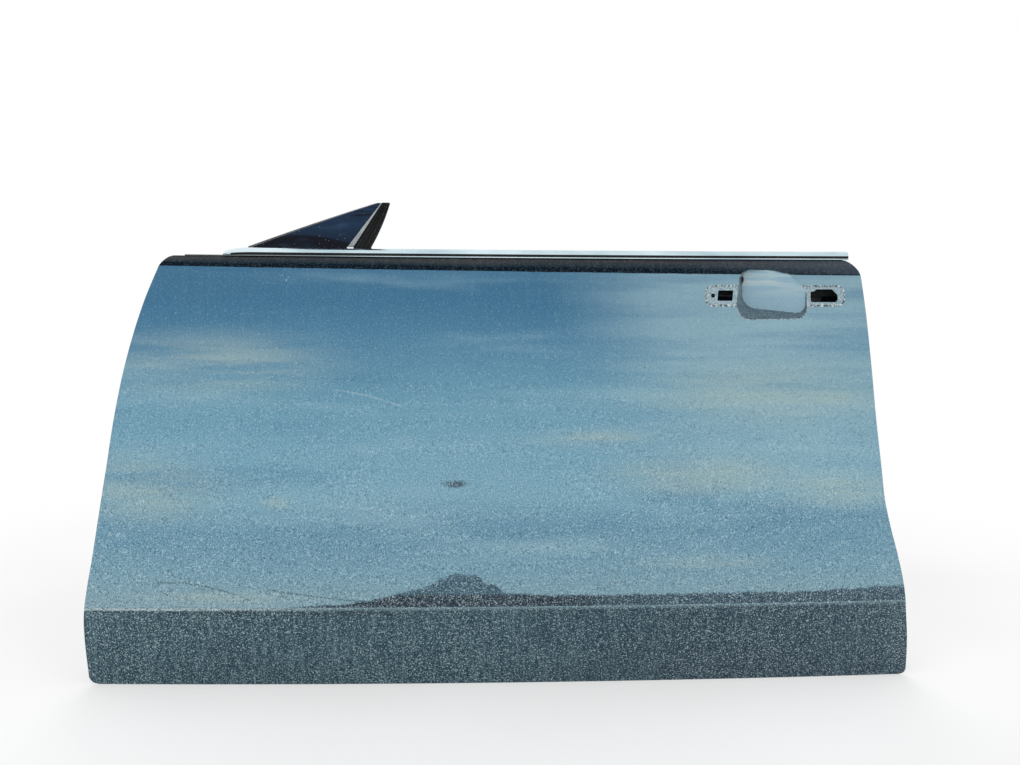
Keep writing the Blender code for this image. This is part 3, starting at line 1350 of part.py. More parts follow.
def make_plugs():
    """Rubber plugs that close the spare holes of the inner panel."""
    profile = (
        (0, PLUG_HEAD_HEIGHT + SEAT_GAP),
        (PLUG_HEAD_RADIUS * PLUG_DOME_SHARE, PLUG_HEAD_HEIGHT + SEAT_GAP),
        (PLUG_HEAD_RADIUS, SEAT_GAP + PLUG_HEAD_HEIGHT / 3), (PLUG_HEAD_RADIUS, SEAT_GAP),
        (PLUG_HOLE_RADIUS - SEAT_GAP, SEAT_GAP),
        (PLUG_HOLE_RADIUS - SEAT_GAP, -PANEL_GAUGE - SEAT_GAP),
        (PLUG_LIP_RADIUS, -PANEL_GAUGE - SEAT_GAP),
        (PLUG_HOLE_RADIUS * PLUG_NOSE_SHARE, -PANEL_GAUGE - PLUG_LIP_HEIGHT),
        (0, -PANEL_GAUGE - PLUG_LIP_HEIGHT),
    )
    for n, (x, z) in enumerate(plug_places()):
        bm = bmesh.new()
        verts = [bm.verts.new((radius, 0, height)) for radius, height in profile]
        edges = [bm.edges.new(pair) for pair in zip(verts, verts[1:])]
        bmesh.ops.spin(
            bm, geom=verts + edges, axis=(0, 0, 1), cent=(0, 0, 0), angle=math.tau, steps=16,
            use_merge=True,
        )
        bmesh.ops.remove_doubles(bm, verts=bm.verts, dist=WELD)
        turn = Matrix.Rotation(-math.pi / 2, 4, "X")
        turn.translation = (x, PANEL_INBOARD, z)
        bmesh.ops.transform(bm, matrix=turn, verts=bm.verts)
        add(f"blanking_plug_{n + 1}", mesh_from(bm, "plug"), BLACK_RUBBER)


make_outer_skin()
make_inner_panel()
make_hinge_plates()
make_latch_reinforcement()
make_flutter_pads(make_beam())
make_damping_pad()
make_handle_doublers()
make_outer_waist_reinforcement()
make_inner_waist_reinforcement()
make_waist_seals()
make_waist_moulding()
make_sail()
make_sail_bracket()
make_sail_strip()
make_sail_seal()
make_guides()
make_plugs()
datum.location = -(UPPER_HINGE @ Vector((HINGE_SEAT_RISE, 0, 0)))
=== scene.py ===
"""Looks of the car door shell: fine meshes for the pressed skin with its handle scoop, the waist
moulding and the sail corner, and procedural finishes for every piece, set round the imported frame.

Metres throughout. X runs rearwards, Y inboards and Z up. The door's datum is the foremost point of
the skin, the glass at the belt, and the hem.
"""

import math
from functools import partialmethod

import bmesh
import bpy
from mathutils import Matrix, Vector


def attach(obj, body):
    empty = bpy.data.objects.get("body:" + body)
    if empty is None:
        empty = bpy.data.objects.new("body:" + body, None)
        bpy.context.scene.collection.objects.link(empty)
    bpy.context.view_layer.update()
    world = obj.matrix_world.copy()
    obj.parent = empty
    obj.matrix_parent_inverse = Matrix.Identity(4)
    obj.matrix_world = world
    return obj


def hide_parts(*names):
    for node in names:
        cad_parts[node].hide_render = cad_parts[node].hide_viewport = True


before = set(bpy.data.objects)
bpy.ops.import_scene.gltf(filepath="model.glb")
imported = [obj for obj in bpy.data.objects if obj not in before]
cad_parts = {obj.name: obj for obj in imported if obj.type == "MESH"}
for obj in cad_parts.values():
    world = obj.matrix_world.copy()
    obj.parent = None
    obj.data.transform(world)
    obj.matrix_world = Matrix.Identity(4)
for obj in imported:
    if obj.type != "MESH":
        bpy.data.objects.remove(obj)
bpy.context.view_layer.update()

# The door's datum as seen from the frame's origin, the seat of the upper hinge
DATUM = Vector((-0.09248, 0.03171, -0.5056))

# Outline of the skin, as shares of its length and of the height of the belt
LENGTH = 1.387
BELT_HEIGHT = 0.714
BOTTOM_FRONT_RADIUS = 0.016
BOTTOM_REAR_RADIUS = 0.012
TOP_FRONT_RADIUS = 0.013
TOP_REAR_RADIUS = 0.022
FRONT_EDGE_SHARES = (
    (0.0, 0.0), (0.157, 0.0), (0.228, 0.0045), (0.329, 0.015), (0.525, 0.034), (0.651, 0.0453),
    (0.776, 0.0595), (0.898, 0.0783), (1.0, 0.0995),
)
REAR_EDGE_SHARES = (
    (0.0, 1.0), (0.097, 0.994), (0.172, 0.9873), (0.245, 0.9805), (0.3165, 0.970), (0.385, 0.9582),
    (0.454, 0.9481), (0.521, 0.9423), (0.651, 0.932), (0.78, 0.9243), (0.906, 0.9175), (1.0, 0.9113),
)

# Section of the skin: how far outboard of the glass line it lies at each height
LOWER_CREASE_HEIGHT = 0.145
SHOULDER_DROP_FRONT = 0.012
SHOULDER_DROP_REAR = 0.023
HEM_OUT = 0.058
LOWER_CREASE_OUT = 0.098
BULGE_OUT = 0.112
SHOULDER_OUT = 0.066
BELT_OUT = 0.034
PLAN_CROWN = 0.018
CROWN_CENTRE_SHARE = 0.45
TUCK_SECTION_SHARES = ((0.0, 0.0), (0.5, 0.56), (1.0, 1.0))
BODY_SECTION_SHARES = (
    (0.0, 0.70), (0.10, 0.79), (0.355, 1.0), (0.645, 0.85), (0.827, 0.52), (1.0, 0.0),
)
SHOULDER_SECTION_SHARES = ((0.0, 1.0), (0.45, 0.64), (1.0, 0.0))

# Sheet
SKIN_GAUGE = 0.0008
HEM_RADIUS = 0.0016
HEM_RETURN = 0.009
HEM_RETURN_SHARES = (0.4, 1.0)
HEM_STEPS = 6
# The mesh attribute that tells the paint how deep the sheet is pressed
PRESSED = "pressed"

# Mesh of the skin: how many strips each stretch is cut into
FINE_START = 0.995
FINE_END = 1.24
FINE_LOW = 0.612
CREASE_BAND = 0.006
CORNER_BAND = 0.02
FRONT_COLUMNS = 72
FINE_COLUMNS = 196
REAR_COLUMNS = 5
CORNER_ROWS = 10
TUCK_ROWS = 12
CREASE_ROWS = 10
BODY_ROWS = 40
FINE_ROWS = 88

# Handle recess
CUP_LEFT = 1.0565
CUP_RIGHT = 1.176
CUP_LOW = 0.6225
CUP_HIGH = 0.6995
CUP_DEPTH = 0.030
CUP_LEFT_DRAFT = 0.50
CUP_RIGHT_DRAFT = 0.12
CUP_LOW_DRAFT = 0.52
CUP_RISE_TO_REAR = 0.16
CUP_RISE_TO_TOP = 0.03
CUP_LOW_LEFT_RADIUS = 0.026
CUP_LOW_RIGHT_RADIUS = 0.016
CUP_TOP_RADIUS = 0.014
CUP_FOLD = 0.0012
CUP_RIM = 0.0022
PAD_MIDDLE = 0.6595
PAD_HEIGHT = 0.031
PAD_SINK = 0.0015
PAD_DRAFT = 0.4
PAD_LAP = 0.004
PAD_RIM = 0.0006
FRONT_PAD_START = 1.006
REAR_PAD_END = 1.2375
FRONT_PAD_RADIUS = 0.0145
REAR_PAD_RADIUS = 0.010
FRONT_HOLE_START = 1.0265
FRONT_HOLE_LENGTH = 0.0265
FRONT_HOLE_HEIGHT = 0.0165
FRONT_HOLE_LEAN = 0.0017
REAR_HOLE_START = 1.1815
REAR_HOLE_LENGTH = 0.0455
REAR_HOLE_HEIGHT = 0.0205
REAR_HOLE_SHARES = (
    (0.03, 0.0), (0.93, 0.0), (1.0, 0.18), (1.0, 0.55), (0.80, 1.0), (0.20, 1.0), (0.16, 0.86),
    (0.0, 0.80), (0.0, 0.12),
)
SCREW_PLACE = 1.0195
SCREW_RADIUS = 0.0034
SCREW_SIDES = 24
HOLE_ROUNDING = 0.0015
CUTTER_REACH = 0.02
# Halvings in the search for a recess's wall
WALL_STEPS = 16

# Waist moulding
MOULDING_START = 0.230
MOULDING_END = 1.2525
MOULDING_WIDTH = 0.024
MOULDING_HEIGHT = 0.0125
MOULDING_TIP = 0.05
MOULDING_NOSE_SHARE = 0.3
MOULDING_OVERHANG = 0.004
MOULDING_GAP = 0.0003
TIP_STATIONS = 10
MOULDING_STATIONS = 44
# Share of the width from outboard, share of the height
MOULDING_SECTION = (
    (0.03, 0.0), (0.0, 0.08), (0.0, 0.15), (0.04, 0.21), (0.12, 0.23), (0.12, 0.49),
    (0.05, 0.52), (0.09, 0.64), (0.22, 0.87), (0.42, 1.0), (0.72, 1.0), (0.92, 0.84),
    (1.0, 0.55), (1.0, 0.0), (0.88, 0.0), (0.88, 0.5), (0.66, 0.82), (0.45, 0.82),
    (0.30, 0.68), (0.22, 0.45), (0.22, 0.0),
)
INSET_SECTION = ((0.055, 0.225), (0.116, 0.24), (0.116, 0.48), (0.060, 0.505))
MOULDING_BEVEL = 0.00035
INSET_BEVEL = 0.0001

# Sail corner ahead of the glass
GLASS_LEAN = 0.2126
GLASS_RADIUS = 2.0
SAIL_FRONT = 0.276
SAIL_BASE = 0.7275
SAIL_TOP = 0.7985
SAIL_FOOT = 0.703
SAIL_TIP_FRONT = 0.4765
SAIL_TIP_REAR = 0.482
SAIL_BASE_REAR = 0.4275
SAIL_BOW = 0.0012
SAIL_OUT = 0.012
SAIL_DEPTH = 0.012
SAIL_BEVEL = 0.0016
SAIL_STATIONS = 12
STRIP_BASE_REAR = 0.4377
STRIP_TIP_REAR = 0.484
STRIP_PROUD = 0.0008
STRIP_CREST_SHARES = (0.2, 0.8)
STRIP_BEVEL = 0.0004
SEAL_BASE_REAR = 0.467
SEAL_TIP_REAR = 0.4973
SEAL_BOW = 0.0025
SEAL_DEPTH = 0.0165
SEAL_LIP = 0.004
SEAL_SLOT_WALL = 0.007
SEAL_STATIONS = 16
SEAT_GAP = 0.0003
# Share of the way across the seal's face, depth of the face there
SEAL_FACE = (
    (0.0, 0.0008), (0.03, 0.0), (0.07, 0.0006), (0.10, 0.0024), (0.30, 0.0030), (0.36, 0.0014),
    (0.41, 0.0002), (0.46, 0.0), (0.52, 0.0010), (0.57, 0.0026), (0.78, 0.0028), (0.83, 0.0010),
    (0.88, 0.0001), (0.96, 0.0), (1.0, 0.0010),
)

# Angles in degrees past which a fold stays crisp
SKIN_SHARP = 40
TRIM_SHARP = 50
SEAL_SHARP = 45
NODE_SHARP = 28


def blend(a, b, share):
    return a + (b - a) * share


def spaced(start, end, count):
    """count places from start, evenly on the way to end and without it."""
    return [blend(start, end, n / count) for n in range(count)]


def curve_at(points, place):
    """The smooth curve through (place, value) points, with each slope taken from its neighbours."""
    places = [p for p, _ in points]
    values = [v for _, v in points]
    last = len(points) - 1

    def slope(i):
        low, high = max(i - 1, 0), min(i + 1, last)
        return (values[high] - values[low]) / (places[high] - places[low])

    i = max([n for n in range(last) if places[n] <= place], default=0)
    span = places[i + 1] - places[i]
    t = (place - places[i]) / span
    if t < 0:
        return values[0] + slope(0) * (place - places[0])
    if t > 1:
        return values[last] + slope(last) * (place - places[last])
    return (
        values[i] * (2 * t**3 - 3 * t**2 + 1)
        + slope(i) * span * (t**3 - 2 * t**2 + t)
        + values[i + 1] * (3 * t**2 - 2 * t**3)
        + slope(i + 1) * span * (t**3 - t**2)
    )


def corner_inset(distance, radius):
    """How far a rounded corner draws an edge in, at this distance from the corner's end."""
    reach = radius - max(distance, 0)
    return radius - math.sqrt(radius**2 - reach**2) if 0 < reach else 0


def front_edge(z, inset=0):
    return (
        LENGTH * curve_at(FRONT_EDGE_SHARES, z / BELT_HEIGHT)
        + inset
        + corner_inset(z - inset, max(BOTTOM_FRONT_RADIUS - inset, 0))
        + corner_inset(BELT_HEIGHT - z, TOP_FRONT_RADIUS)
    )


def rear_edge(z, inset=0):
    return (
        LENGTH * curve_at(REAR_EDGE_SHARES, z / BELT_HEIGHT)
        - inset
        - corner_inset(z - inset, max(BOTTOM_REAR_RADIUS - inset, 0))
        - corner_inset(BELT_HEIGHT - z, TOP_REAR_RADIUS)
    )


def crown(x):
    """How far the door's barrel shape in plan draws it inboard."""
    return PLAN_CROWN * (2 * (x / LENGTH - CROWN_CENTRE_SHARE)) ** 2


def plain_skin_y(x, z):
    """The outer face of the skin before the recess is pressed."""
    front, rear = front_edge(z), rear_edge(z)
    across = (x - front) / (rear - front)
    shoulder = BELT_HEIGHT - blend(SHOULDER_DROP_FRONT, SHOULDER_DROP_REAR, across)
    if z < LOWER_CREASE_HEIGHT:
        share = curve_at(TUCK_SECTION_SHARES, z / LOWER_CREASE_HEIGHT)
        out = blend(HEM_OUT, LOWER_CREASE_OUT, share)
    elif z < shoulder:
        share = (z - LOWER_CREASE_HEIGHT) / (shoulder - LOWER_CREASE_HEIGHT)
        out = blend(SHOULDER_OUT, BULGE_OUT, curve_at(BODY_SECTION_SHARES, share))
    else:
        share = (z - shoulder) / (BELT_HEIGHT - shoulder)
        out = blend(BELT_OUT, SHOULDER_OUT, curve_at(SHOULDER_SECTION_SHARES, share))
    return crown(x) - out


def glass_y(x, z):
    rise = z - BELT_HEIGHT
    return crown(x) + GLASS_LEAN * rise + rise**2 / (2 * GLASS_RADIUS)


def sail_y(x, z, inward=0):
    return glass_y(x, z) - SAIL_OUT + inward


def soft_most(a, b, width):
    """The larger of two depths, rounded where they cross."""
    near = max(width - abs(a - b), 0) / width
    return max(a, b) + near**2 * width / 4


def soft_least(a, b, width):
    return -soft_most(-a, -b, width)


def box_distance(x, z, box, radii):
    """Distance outside a rounded box. radii: low left, low right, high right, high left."""
    left, right, low, high = box
    on_left, is_low = x < (left + right) / 2, z < (low + high) / 2
    radius = radii[(0 if on_left else 1) if is_low else (3 if on_left else 2)]
    beyond_x = abs(x - (left + right) / 2) - (right - left) / 2 + radius
    beyond_z = abs(z - (low + high) / 2) - (high - low) / 2 + radius
    corner = math.hypot(max(beyond_x, 0), max(beyond_z, 0))
    return min(max(beyond_x, beyond_z), 0) + corner - radius


class Recess:
    """A drafted pressing: an outline that shrinks with depth, closed by a sloping floor."""

    def __init__(self, box, drafts, radii, floor_point, floor_slopes, fold, rim):
        self.box, self.drafts, self.radii = box, drafts, radii
        self.floor_point, self.floor_slopes = floor_point, floor_slopes
        self.fold, self.rim = fold, rim

    def inside_by(self, x, z, run):
        left, right, low, high = self.box
        draft_left, draft_right, draft_low, draft_high = self.drafts
        box = (
            left + draft_left * run, right - draft_right * run,
            low + draft_low * run, high - draft_high * run,
        )
        return -box_distance(x, z, box, self.radii)

    def press(self, y, x, z):
        """The depth of the sheet once this recess is pressed into it."""
        shallow, deep = -CUP_DEPTH - CUTTER_REACH, CUTTER_REACH
        if self.inside_by(x, z, shallow) <= 0:
            return y
        for _ in range(WALL_STEPS):
            run = (shallow + deep) / 2
            if self.inside_by(x, z, run) > 0:
                shallow = run
            else:
                deep = run
        px, py, pz = self.floor_point
        floor = py + self.floor_slopes[0] * (x - px) + self.floor_slopes[1] * (z - pz)
        return soft_most(y, soft_least(floor, py + shallow, self.fold), self.rim)


def cup_recess():
    fold_x = CUP_LEFT + CUP_LEFT_DRAFT * CUP_DEPTH
    fold_z = CUP_LOW + CUP_LOW_DRAFT * CUP_DEPTH
    floor = (fold_x, plain_skin_y(fold_x, fold_z) + CUP_DEPTH, fold_z)
    box = (fold_x, CUP_RIGHT - CUP_RIGHT_DRAFT * CUP_DEPTH, fold_z, CUP_HIGH)
    return Recess(
        box, (CUP_LEFT_DRAFT, CUP_RIGHT_DRAFT, CUP_LOW_DRAFT, 0),
        (CUP_LOW_LEFT_RADIUS, CUP_LOW_RIGHT_RADIUS, CUP_TOP_RADIUS, CUP_TOP_RADIUS),
        floor, (-CUP_RISE_TO_REAR, CUP_RISE_TO_TOP), CUP_FOLD, CUP_RIM,
    )


def pad_recess(left, right, radii):
    middle, half, rise = (left + right) / 2, (right - left) / 2, PAD_HEIGHT / 2
    y_at = plain_skin_y
    slope_x = (y_at(right, PAD_MIDDLE) - y_at(left, PAD_MIDDLE)) / (2 * half)
    slope_z = (y_at(middle, PAD_MIDDLE + rise) - y_at(middle, PAD_MIDDLE - rise)) / (2 * rise)
    return Recess(
        (left, right, PAD_MIDDLE - rise, PAD_MIDDLE + rise), (PAD_DRAFT,) * 4, radii,
        (middle, y_at(middle, PAD_MIDDLE) + PAD_SINK, PAD_MIDDLE), (slope_x, slope_z),
        PAD_RIM, PAD_RIM,
    )


FRONT_PAD = pad_recess(
    FRONT_PAD_START, CUP_LEFT + PAD_LAP,
    (FRONT_PAD_RADIUS, PAD_LAP / 2, PAD_LAP / 2, FRONT_PAD_RADIUS),
)
REAR_PAD = pad_recess(
    CUP_RIGHT - PAD_LAP, REAR_PAD_END,
    (PAD_LAP / 2, REAR_PAD_RADIUS, REAR_PAD_RADIUS, PAD_LAP / 2),
)
RECESSES = (FRONT_PAD, REAR_PAD, cup_recess())


def skin_y(x, z):
    y = plain_skin_y(x, z)
    if FINE_START < x < FINE_END and FINE_LOW < z:
        for recess in RECESSES:
            y = recess.press(y, x, z)
    return y


# Mesh helpers
def add_object(name, data):
    obj = bpy.data.objects.new(name, data)
    bpy.context.scene.collection.objects.link(obj)
    return obj


def piece(name, mesh, slot, *nodes):
    """A finished mesh as a piece that stands for these nodes. Its finish is named like its slot."""
    obj = add_object(name, mesh)
    mesh.materials.clear()
    mesh.materials.append(MATERIALS[slot])
    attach(obj, "root")
    if nodes:
        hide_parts(*nodes)


def from_lists(name, points, faces):
    mesh = bpy.data.meshes.new(name)
    mesh.from_pydata([Vector(point) + DATUM for point in points], [], faces)
    mesh.validate()
    return mesh


def loft(name, rings):
    """A closed solid through rings of as many points each, with capped ends."""
    count = len(rings[0])
    points = [point for ring in rings for point in ring]
    faces = []
    for ring in range(len(rings) - 1):
        here, there = ring * count, (ring + 1) * count
        for i in range(count):
            after = (i + 1) % count
            faces.append((here + i, here + after, there + after, there + i))
    start = (len(rings) - 1) * count
    faces += [tuple(range(count))[::-1], tuple(range(start, start + count))]
    mesh = from_lists(name, points, faces)
    bm = bmesh.new()
    bm.from_mesh(mesh)
    bmesh.ops.recalc_face_normals(bm, faces=bm.faces[:])
    bm.to_mesh(mesh)
    bm.free()
    return mesh


def settled(obj, sharp_angle):
    """The mesh that an object's modifiers give, smooth but for its folds. The object goes."""
    bpy.context.view_layer.update()
    graph = bpy.context.evaluated_depsgraph_get()
    mesh = bpy.data.meshes.new_from_object(obj.evaluated_get(graph))
    bpy.data.objects.remove(obj, do_unlink=True)
    mesh.shade_smooth()
    mesh.set_sharp_from_angle(angle=math.radians(sharp_angle))
    return mesh


def bevel(obj, width, segments=3, angle=25):
    made = obj.modifiers.new("edge", "BEVEL")
    made.width = width
    made.segments = segments
    made.limit_method = "ANGLE"
    made.angle_limit = math.radians(angle)


def cut(obj, cutter):
    made = obj.modifiers.new(cutter.name, "BOOLEAN")
    made.object = cutter
    made.solver = "MANIFOLD"


# Outer skin
def skin_heights():
    crease = LOWER_CREASE_HEIGHT
    return (
        spaced(HEM_RADIUS, CORNER_BAND, CORNER_ROWS)
        + spaced(CORNER_BAND, crease - CREASE_BAND, TUCK_ROWS)
        + spaced(crease - CREASE_BAND, crease + CREASE_BAND, CREASE_ROWS)
        + spaced(crease + CREASE_BAND, FINE_LOW, BODY_ROWS)
        + spaced(FINE_LOW, BELT_HEIGHT, FINE_ROWS)
        + [BELT_HEIGHT]
    )


def skin_columns(z):
    front, rear = front_edge(z, HEM_RADIUS), rear_edge(z, HEM_RADIUS)
    return (
        spaced(front, FINE_START, FRONT_COLUMNS)
        + spaced(FINE_START, FINE_END, FINE_COLUMNS)
        + spaced(FINE_END, rear, REAR_COLUMNS)
        + [rear]
    )


def hem_sections(edge):
    """For each point of the free edge, the points of the sheet rolled round it and turned back."""
    sections = []
    for n, point in enumerate(edge):
        x, _, z = point
        step = HEM_RADIUS
        slope_x = (plain_skin_y(x + step, z) - plain_skin_y(x - step, z)) / (2 * step)
        below = max(z - step, 0)
        slope_z = (plain_skin_y(x, z + step) - plain_skin_y(x, below)) / (z + step - below)
        normal = Vector((slope_x, -1, slope_z)).normalized()
        along = (edge[min(n + 1, len(edge) - 1)] - edge[max(n - 1, 0)]).normalized()
        out = along.cross(normal).normalized()
        turns = [math.pi * (k + 1) / HEM_STEPS for k in range(HEM_STEPS)]
        section = [
            point + out * HEM_RADIUS * math.sin(turn) - normal * HEM_RADIUS * (1 - math.cos(turn))
            for turn in turns
        ]
        section += [section[-1] - out * HEM_RETURN * share for share in HEM_RETURN_SHARES]
        sections.append(section)
    return sections


def skin_mesh():
    rows = skin_heights()
    points = [Vector((x, skin_y(x, z), z)) for z in rows for x in skin_columns(z)]
    wide, tall = FRONT_COLUMNS + FINE_COLUMNS + REAR_COLUMNS + 1, len(rows)
    faces = [
        (j * wide + i, j * wide + i + 1, (j + 1) * wide + i + 1, (j + 1) * wide + i)
        for j in range(tall - 1) for i in range(wide - 1)
    ]
    loop = [j * wide for j in range(tall - 1, 0, -1)]
    loop += list(range(wide))
    loop += [j * wide + wide - 1 for j in range(1, tall)]
    before = loop
    for section in zip(*hem_sections([points[index] for index in loop])):
        after = [len(points) + n for n in range(len(section))]
        points += section
        faces += [
            (before[n], after[n], after[n + 1], before[n + 1]) for n in range(len(loop) - 1)
        ]
        before = after
    mesh = from_lists("outer_skin_fine", points, faces)
    pressed = mesh.attributes.new(PRESSED, "FLOAT", "POINT")
    for index in range(tall * wide):
        x, y, z = points[index]
        pressed.data[index].value = y - plain_skin_y(x, z)
    return mesh


def hole_outlines():
    half = FRONT_HOLE_HEIGHT / 2
    start, end = FRONT_HOLE_START, FRONT_HOLE_START + FRONT_HOLE_LENGTH
    front = [
        (start, PAD_MIDDLE - half), (end - FRONT_HOLE_LEAN, PAD_MIDDLE - half),
        (end, PAD_MIDDLE + half), (start + FRONT_HOLE_LEAN, PAD_MIDDLE + half),
    ]
    rear = [
        (REAR_HOLE_START + REAR_HOLE_LENGTH * a, PAD_MIDDLE + REAR_HOLE_HEIGHT * (b - 1 / 2))
        for a, b in REAR_HOLE_SHARES
    ]
    turns = [math.tau * n / SCREW_SIDES for n in range(SCREW_SIDES)]
    screw = [
        (SCREW_PLACE + SCREW_RADIUS * math.cos(t), PAD_MIDDLE + SCREW_RADIUS * math.sin(t))
        for t in turns
    ]
    return {
        "front_hole": (front, HOLE_ROUNDING), "rear_hole": (rear, HOLE_ROUNDING),
        "screw_hole": (screw, 0),
    }


def make_skin():
    skin = add_object("skin_sheet", skin_mesh())
    gauge = skin.modifiers.new("gauge", "SOLIDIFY")
    gauge.thickness = SKIN_GAUGE
    gauge.offset = -1
    cutters = []
    for name, (outline, rounding) in hole_outlines().items():
        middle = plain_skin_y(outline[0][0], PAD_MIDDLE)
        rings = [
            [(x, y, z) for x, z in outline] for y in (middle - CUTTER_REACH, middle + CUTTER_REACH)
        ]
        cutter = add_object(name, loft(name, rings))
        if rounding:
            bevel(cutter, rounding, 4)
        cut(skin, cutter)
        cutters.append(cutter)
    mesh = settled(skin, SKIN_SHARP)
    for cutter in cutters:
        bpy.data.objects.remove(cutter, do_unlink=True)
    piece("outer_skin_fine", mesh, "body_paint", "outer_skin")


# Waist moulding
def moulding_rings(section):
    tip = [MOULDING_START + MOULDING_TIP * (n / TIP_STATIONS) ** 2 for n in range(TIP_STATIONS)]
    places = tip + spaced(MOULDING_START + MOULDING_TIP, MOULDING_END, MOULDING_STATIONS)
    rings = []
    for x in places + [MOULDING_END]:
        share = min((x - MOULDING_START) / MOULDING_TIP, 1)
        size = blend(MOULDING_NOSE_SHARE, 1, math.sqrt(share * (2 - share)))
        outboard = crown(x) - BELT_OUT - MOULDING_OVERHANG
        foot = BELT_HEIGHT + MOULDING_GAP
        rings.append([
            (x, outboard + MOULDING_WIDTH * a, foot + MOULDING_HEIGHT * b * size) for a, b in section
        ])
    return rings


def make_moulding():
    channel = add_object("channel", loft("waist_moulding_fine", moulding_rings(MOULDING_SECTION)))
    bevel(channel, MOULDING_BEVEL, angle=18)
    mesh = settled(channel, TRIM_SHARP)
    piece("waist_moulding_fine", mesh, "bright_trim", "waist_moulding")
    # A black strip laid along the moulding's groove draws its dark line
    rings = moulding_rings(INSET_SECTION)[TIP_STATIONS // 2:]
    inset = add_object("inset", loft("moulding_inset", rings))
    bevel(inset, INSET_BEVEL, 2)
    piece("moulding_inset", settled(inset, TRIM_SHARP), "black_rubber")


# Sail corner
def on_line(low, high, z):
    """X at height z on the line from the belt to the sail's tip."""
    return blend(low, high, (max(z, SAIL_BASE) - SAIL_BASE) / (SAIL_TOP - SAIL_BASE))


def sail_outline():
    points = [
        (SAIL_FRONT - SAIL_DEPTH / 3, SAIL_FOOT), (SAIL_BASE_REAR, SAIL_FOOT),
        (SAIL_BASE_REAR, SAIL_BASE), (SAIL_TIP_REAR, SAIL_TOP), (SAIL_TIP_FRONT, SAIL_TOP),
    ]
    for n in range(1, SAIL_STATIONS + 1):
        share = n / SAIL_STATIONS
        bow = SAIL_BOW * 4 * share * (1 - share)
        points.append((
            blend(SAIL_TIP_FRONT, SAIL_FRONT, share), blend(SAIL_TOP, SAIL_BASE, share) + bow,
        ))
    return points


def make_sail():
    outline = sail_outline()
    rings = [[(x, sail_y(x, z, depth), z) for x, z in outline] for depth in (0, SAIL_DEPTH)]
    sail = add_object("sail", loft("sail_panel_fine", rings))
    bevel(sail, SAIL_BEVEL, 4, 40)
    piece("sail_panel_fine", settled(sail, SKIN_SHARP), "sail_gloss", "sail_panel")
    strip_rings, seal_rings = [], []
    heights = [SAIL_FOOT] + spaced(SAIL_BASE, SAIL_TOP, SEAL_STATIONS) + [SAIL_TOP]
    for z in heights:
        left = on_line(SAIL_BASE_REAR, SAIL_TIP_REAR, z) + SEAT_GAP
        right = on_line(STRIP_BASE_REAR, STRIP_TIP_REAR, z)
        crest = [(blend(left, right, share), -STRIP_PROUD) for share in STRIP_CREST_SHARES]
        face = [(left, 0), *crest, (right, 0)]
        face += [(right, SAIL_DEPTH), (left, SAIL_DEPTH)]
        if SAIL_BASE <= z:
            strip_rings.append([(x, sail_y(x, z, depth), z) for x, depth in face])
        share = max((z - SAIL_BASE) / (SAIL_TOP - SAIL_BASE), 0)
        left = right + SEAT_GAP
        right = on_line(SEAL_BASE_REAR, SEAL_TIP_REAR, z) + SEAL_BOW * 4 * share * (1 - share)
        slot = left + min(SEAL_SLOT_WALL, (right - left) / 2)
        section = [(blend(left, right, a), depth) for a, depth in SEAL_FACE]
        section += [
            (right, SEAL_LIP), (slot, SEAL_LIP), (slot, SEAL_DEPTH - SEAL_LIP),
            (right - SEAL_LIP / 2, SEAL_DEPTH - SEAL_LIP), (right - SEAL_LIP / 2, SEAL_DEPTH),
            (left, SEAL_DEPTH),
        ]
        seal_rings.append([(x, sail_y(x, z, depth), z) for x, depth in section])
    strip = add_object("strip", loft("sail_edge_strip_fine", strip_rings))
    bevel(strip, STRIP_BEVEL, 2)
    piece("sail_edge_strip_fine", settled(strip, TRIM_SHARP), "grey_trim", "sail_edge_strip")
    seal = add_object("seal", loft("sail_seal_fine", seal_rings))
    piece("sail_seal_fine", settled(seal, SEAL_SHARP), "black_rubber", "sail_seal")


# Shader fields
def join(tree, slot, value):
    if isinstance(value, Worked):
        value = value.socket
    if isinstance(value, bpy.types.NodeSocket):
        tree.links.new(value, slot)
    else:
        slot.default_value = value


def add_node(tree, kind, *values, **named):
    """A new shader node, its inputs set or linked in their order or by name."""
    node = tree.nodes.new("ShaderNode" + kind)
    for slot, value in zip(node.inputs, values):
        join(tree, slot, value)
    for name, value in named.items():
        join(tree, node.inputs[name.replace("_", " ").title()], value)
    return node


class Worked:
    """Something worked out by shader nodes."""

    def __init__(self, tree, socket):
        self.tree, self.socket = tree, socket


class Tint(Worked):
    """A colour worked out by shader nodes."""

    def mixed(self, other, share):
        node = add_node(self.tree, "Mix")
        node.data_type = "RGBA"
        slots = [slot for slot in node.inputs if slot.enabled]
        for slot, value in zip(slots, (share, self, other)):
            join(self.tree, slot, value)
        return Tint(self.tree, next(out for out in node.outputs if out.enabled))


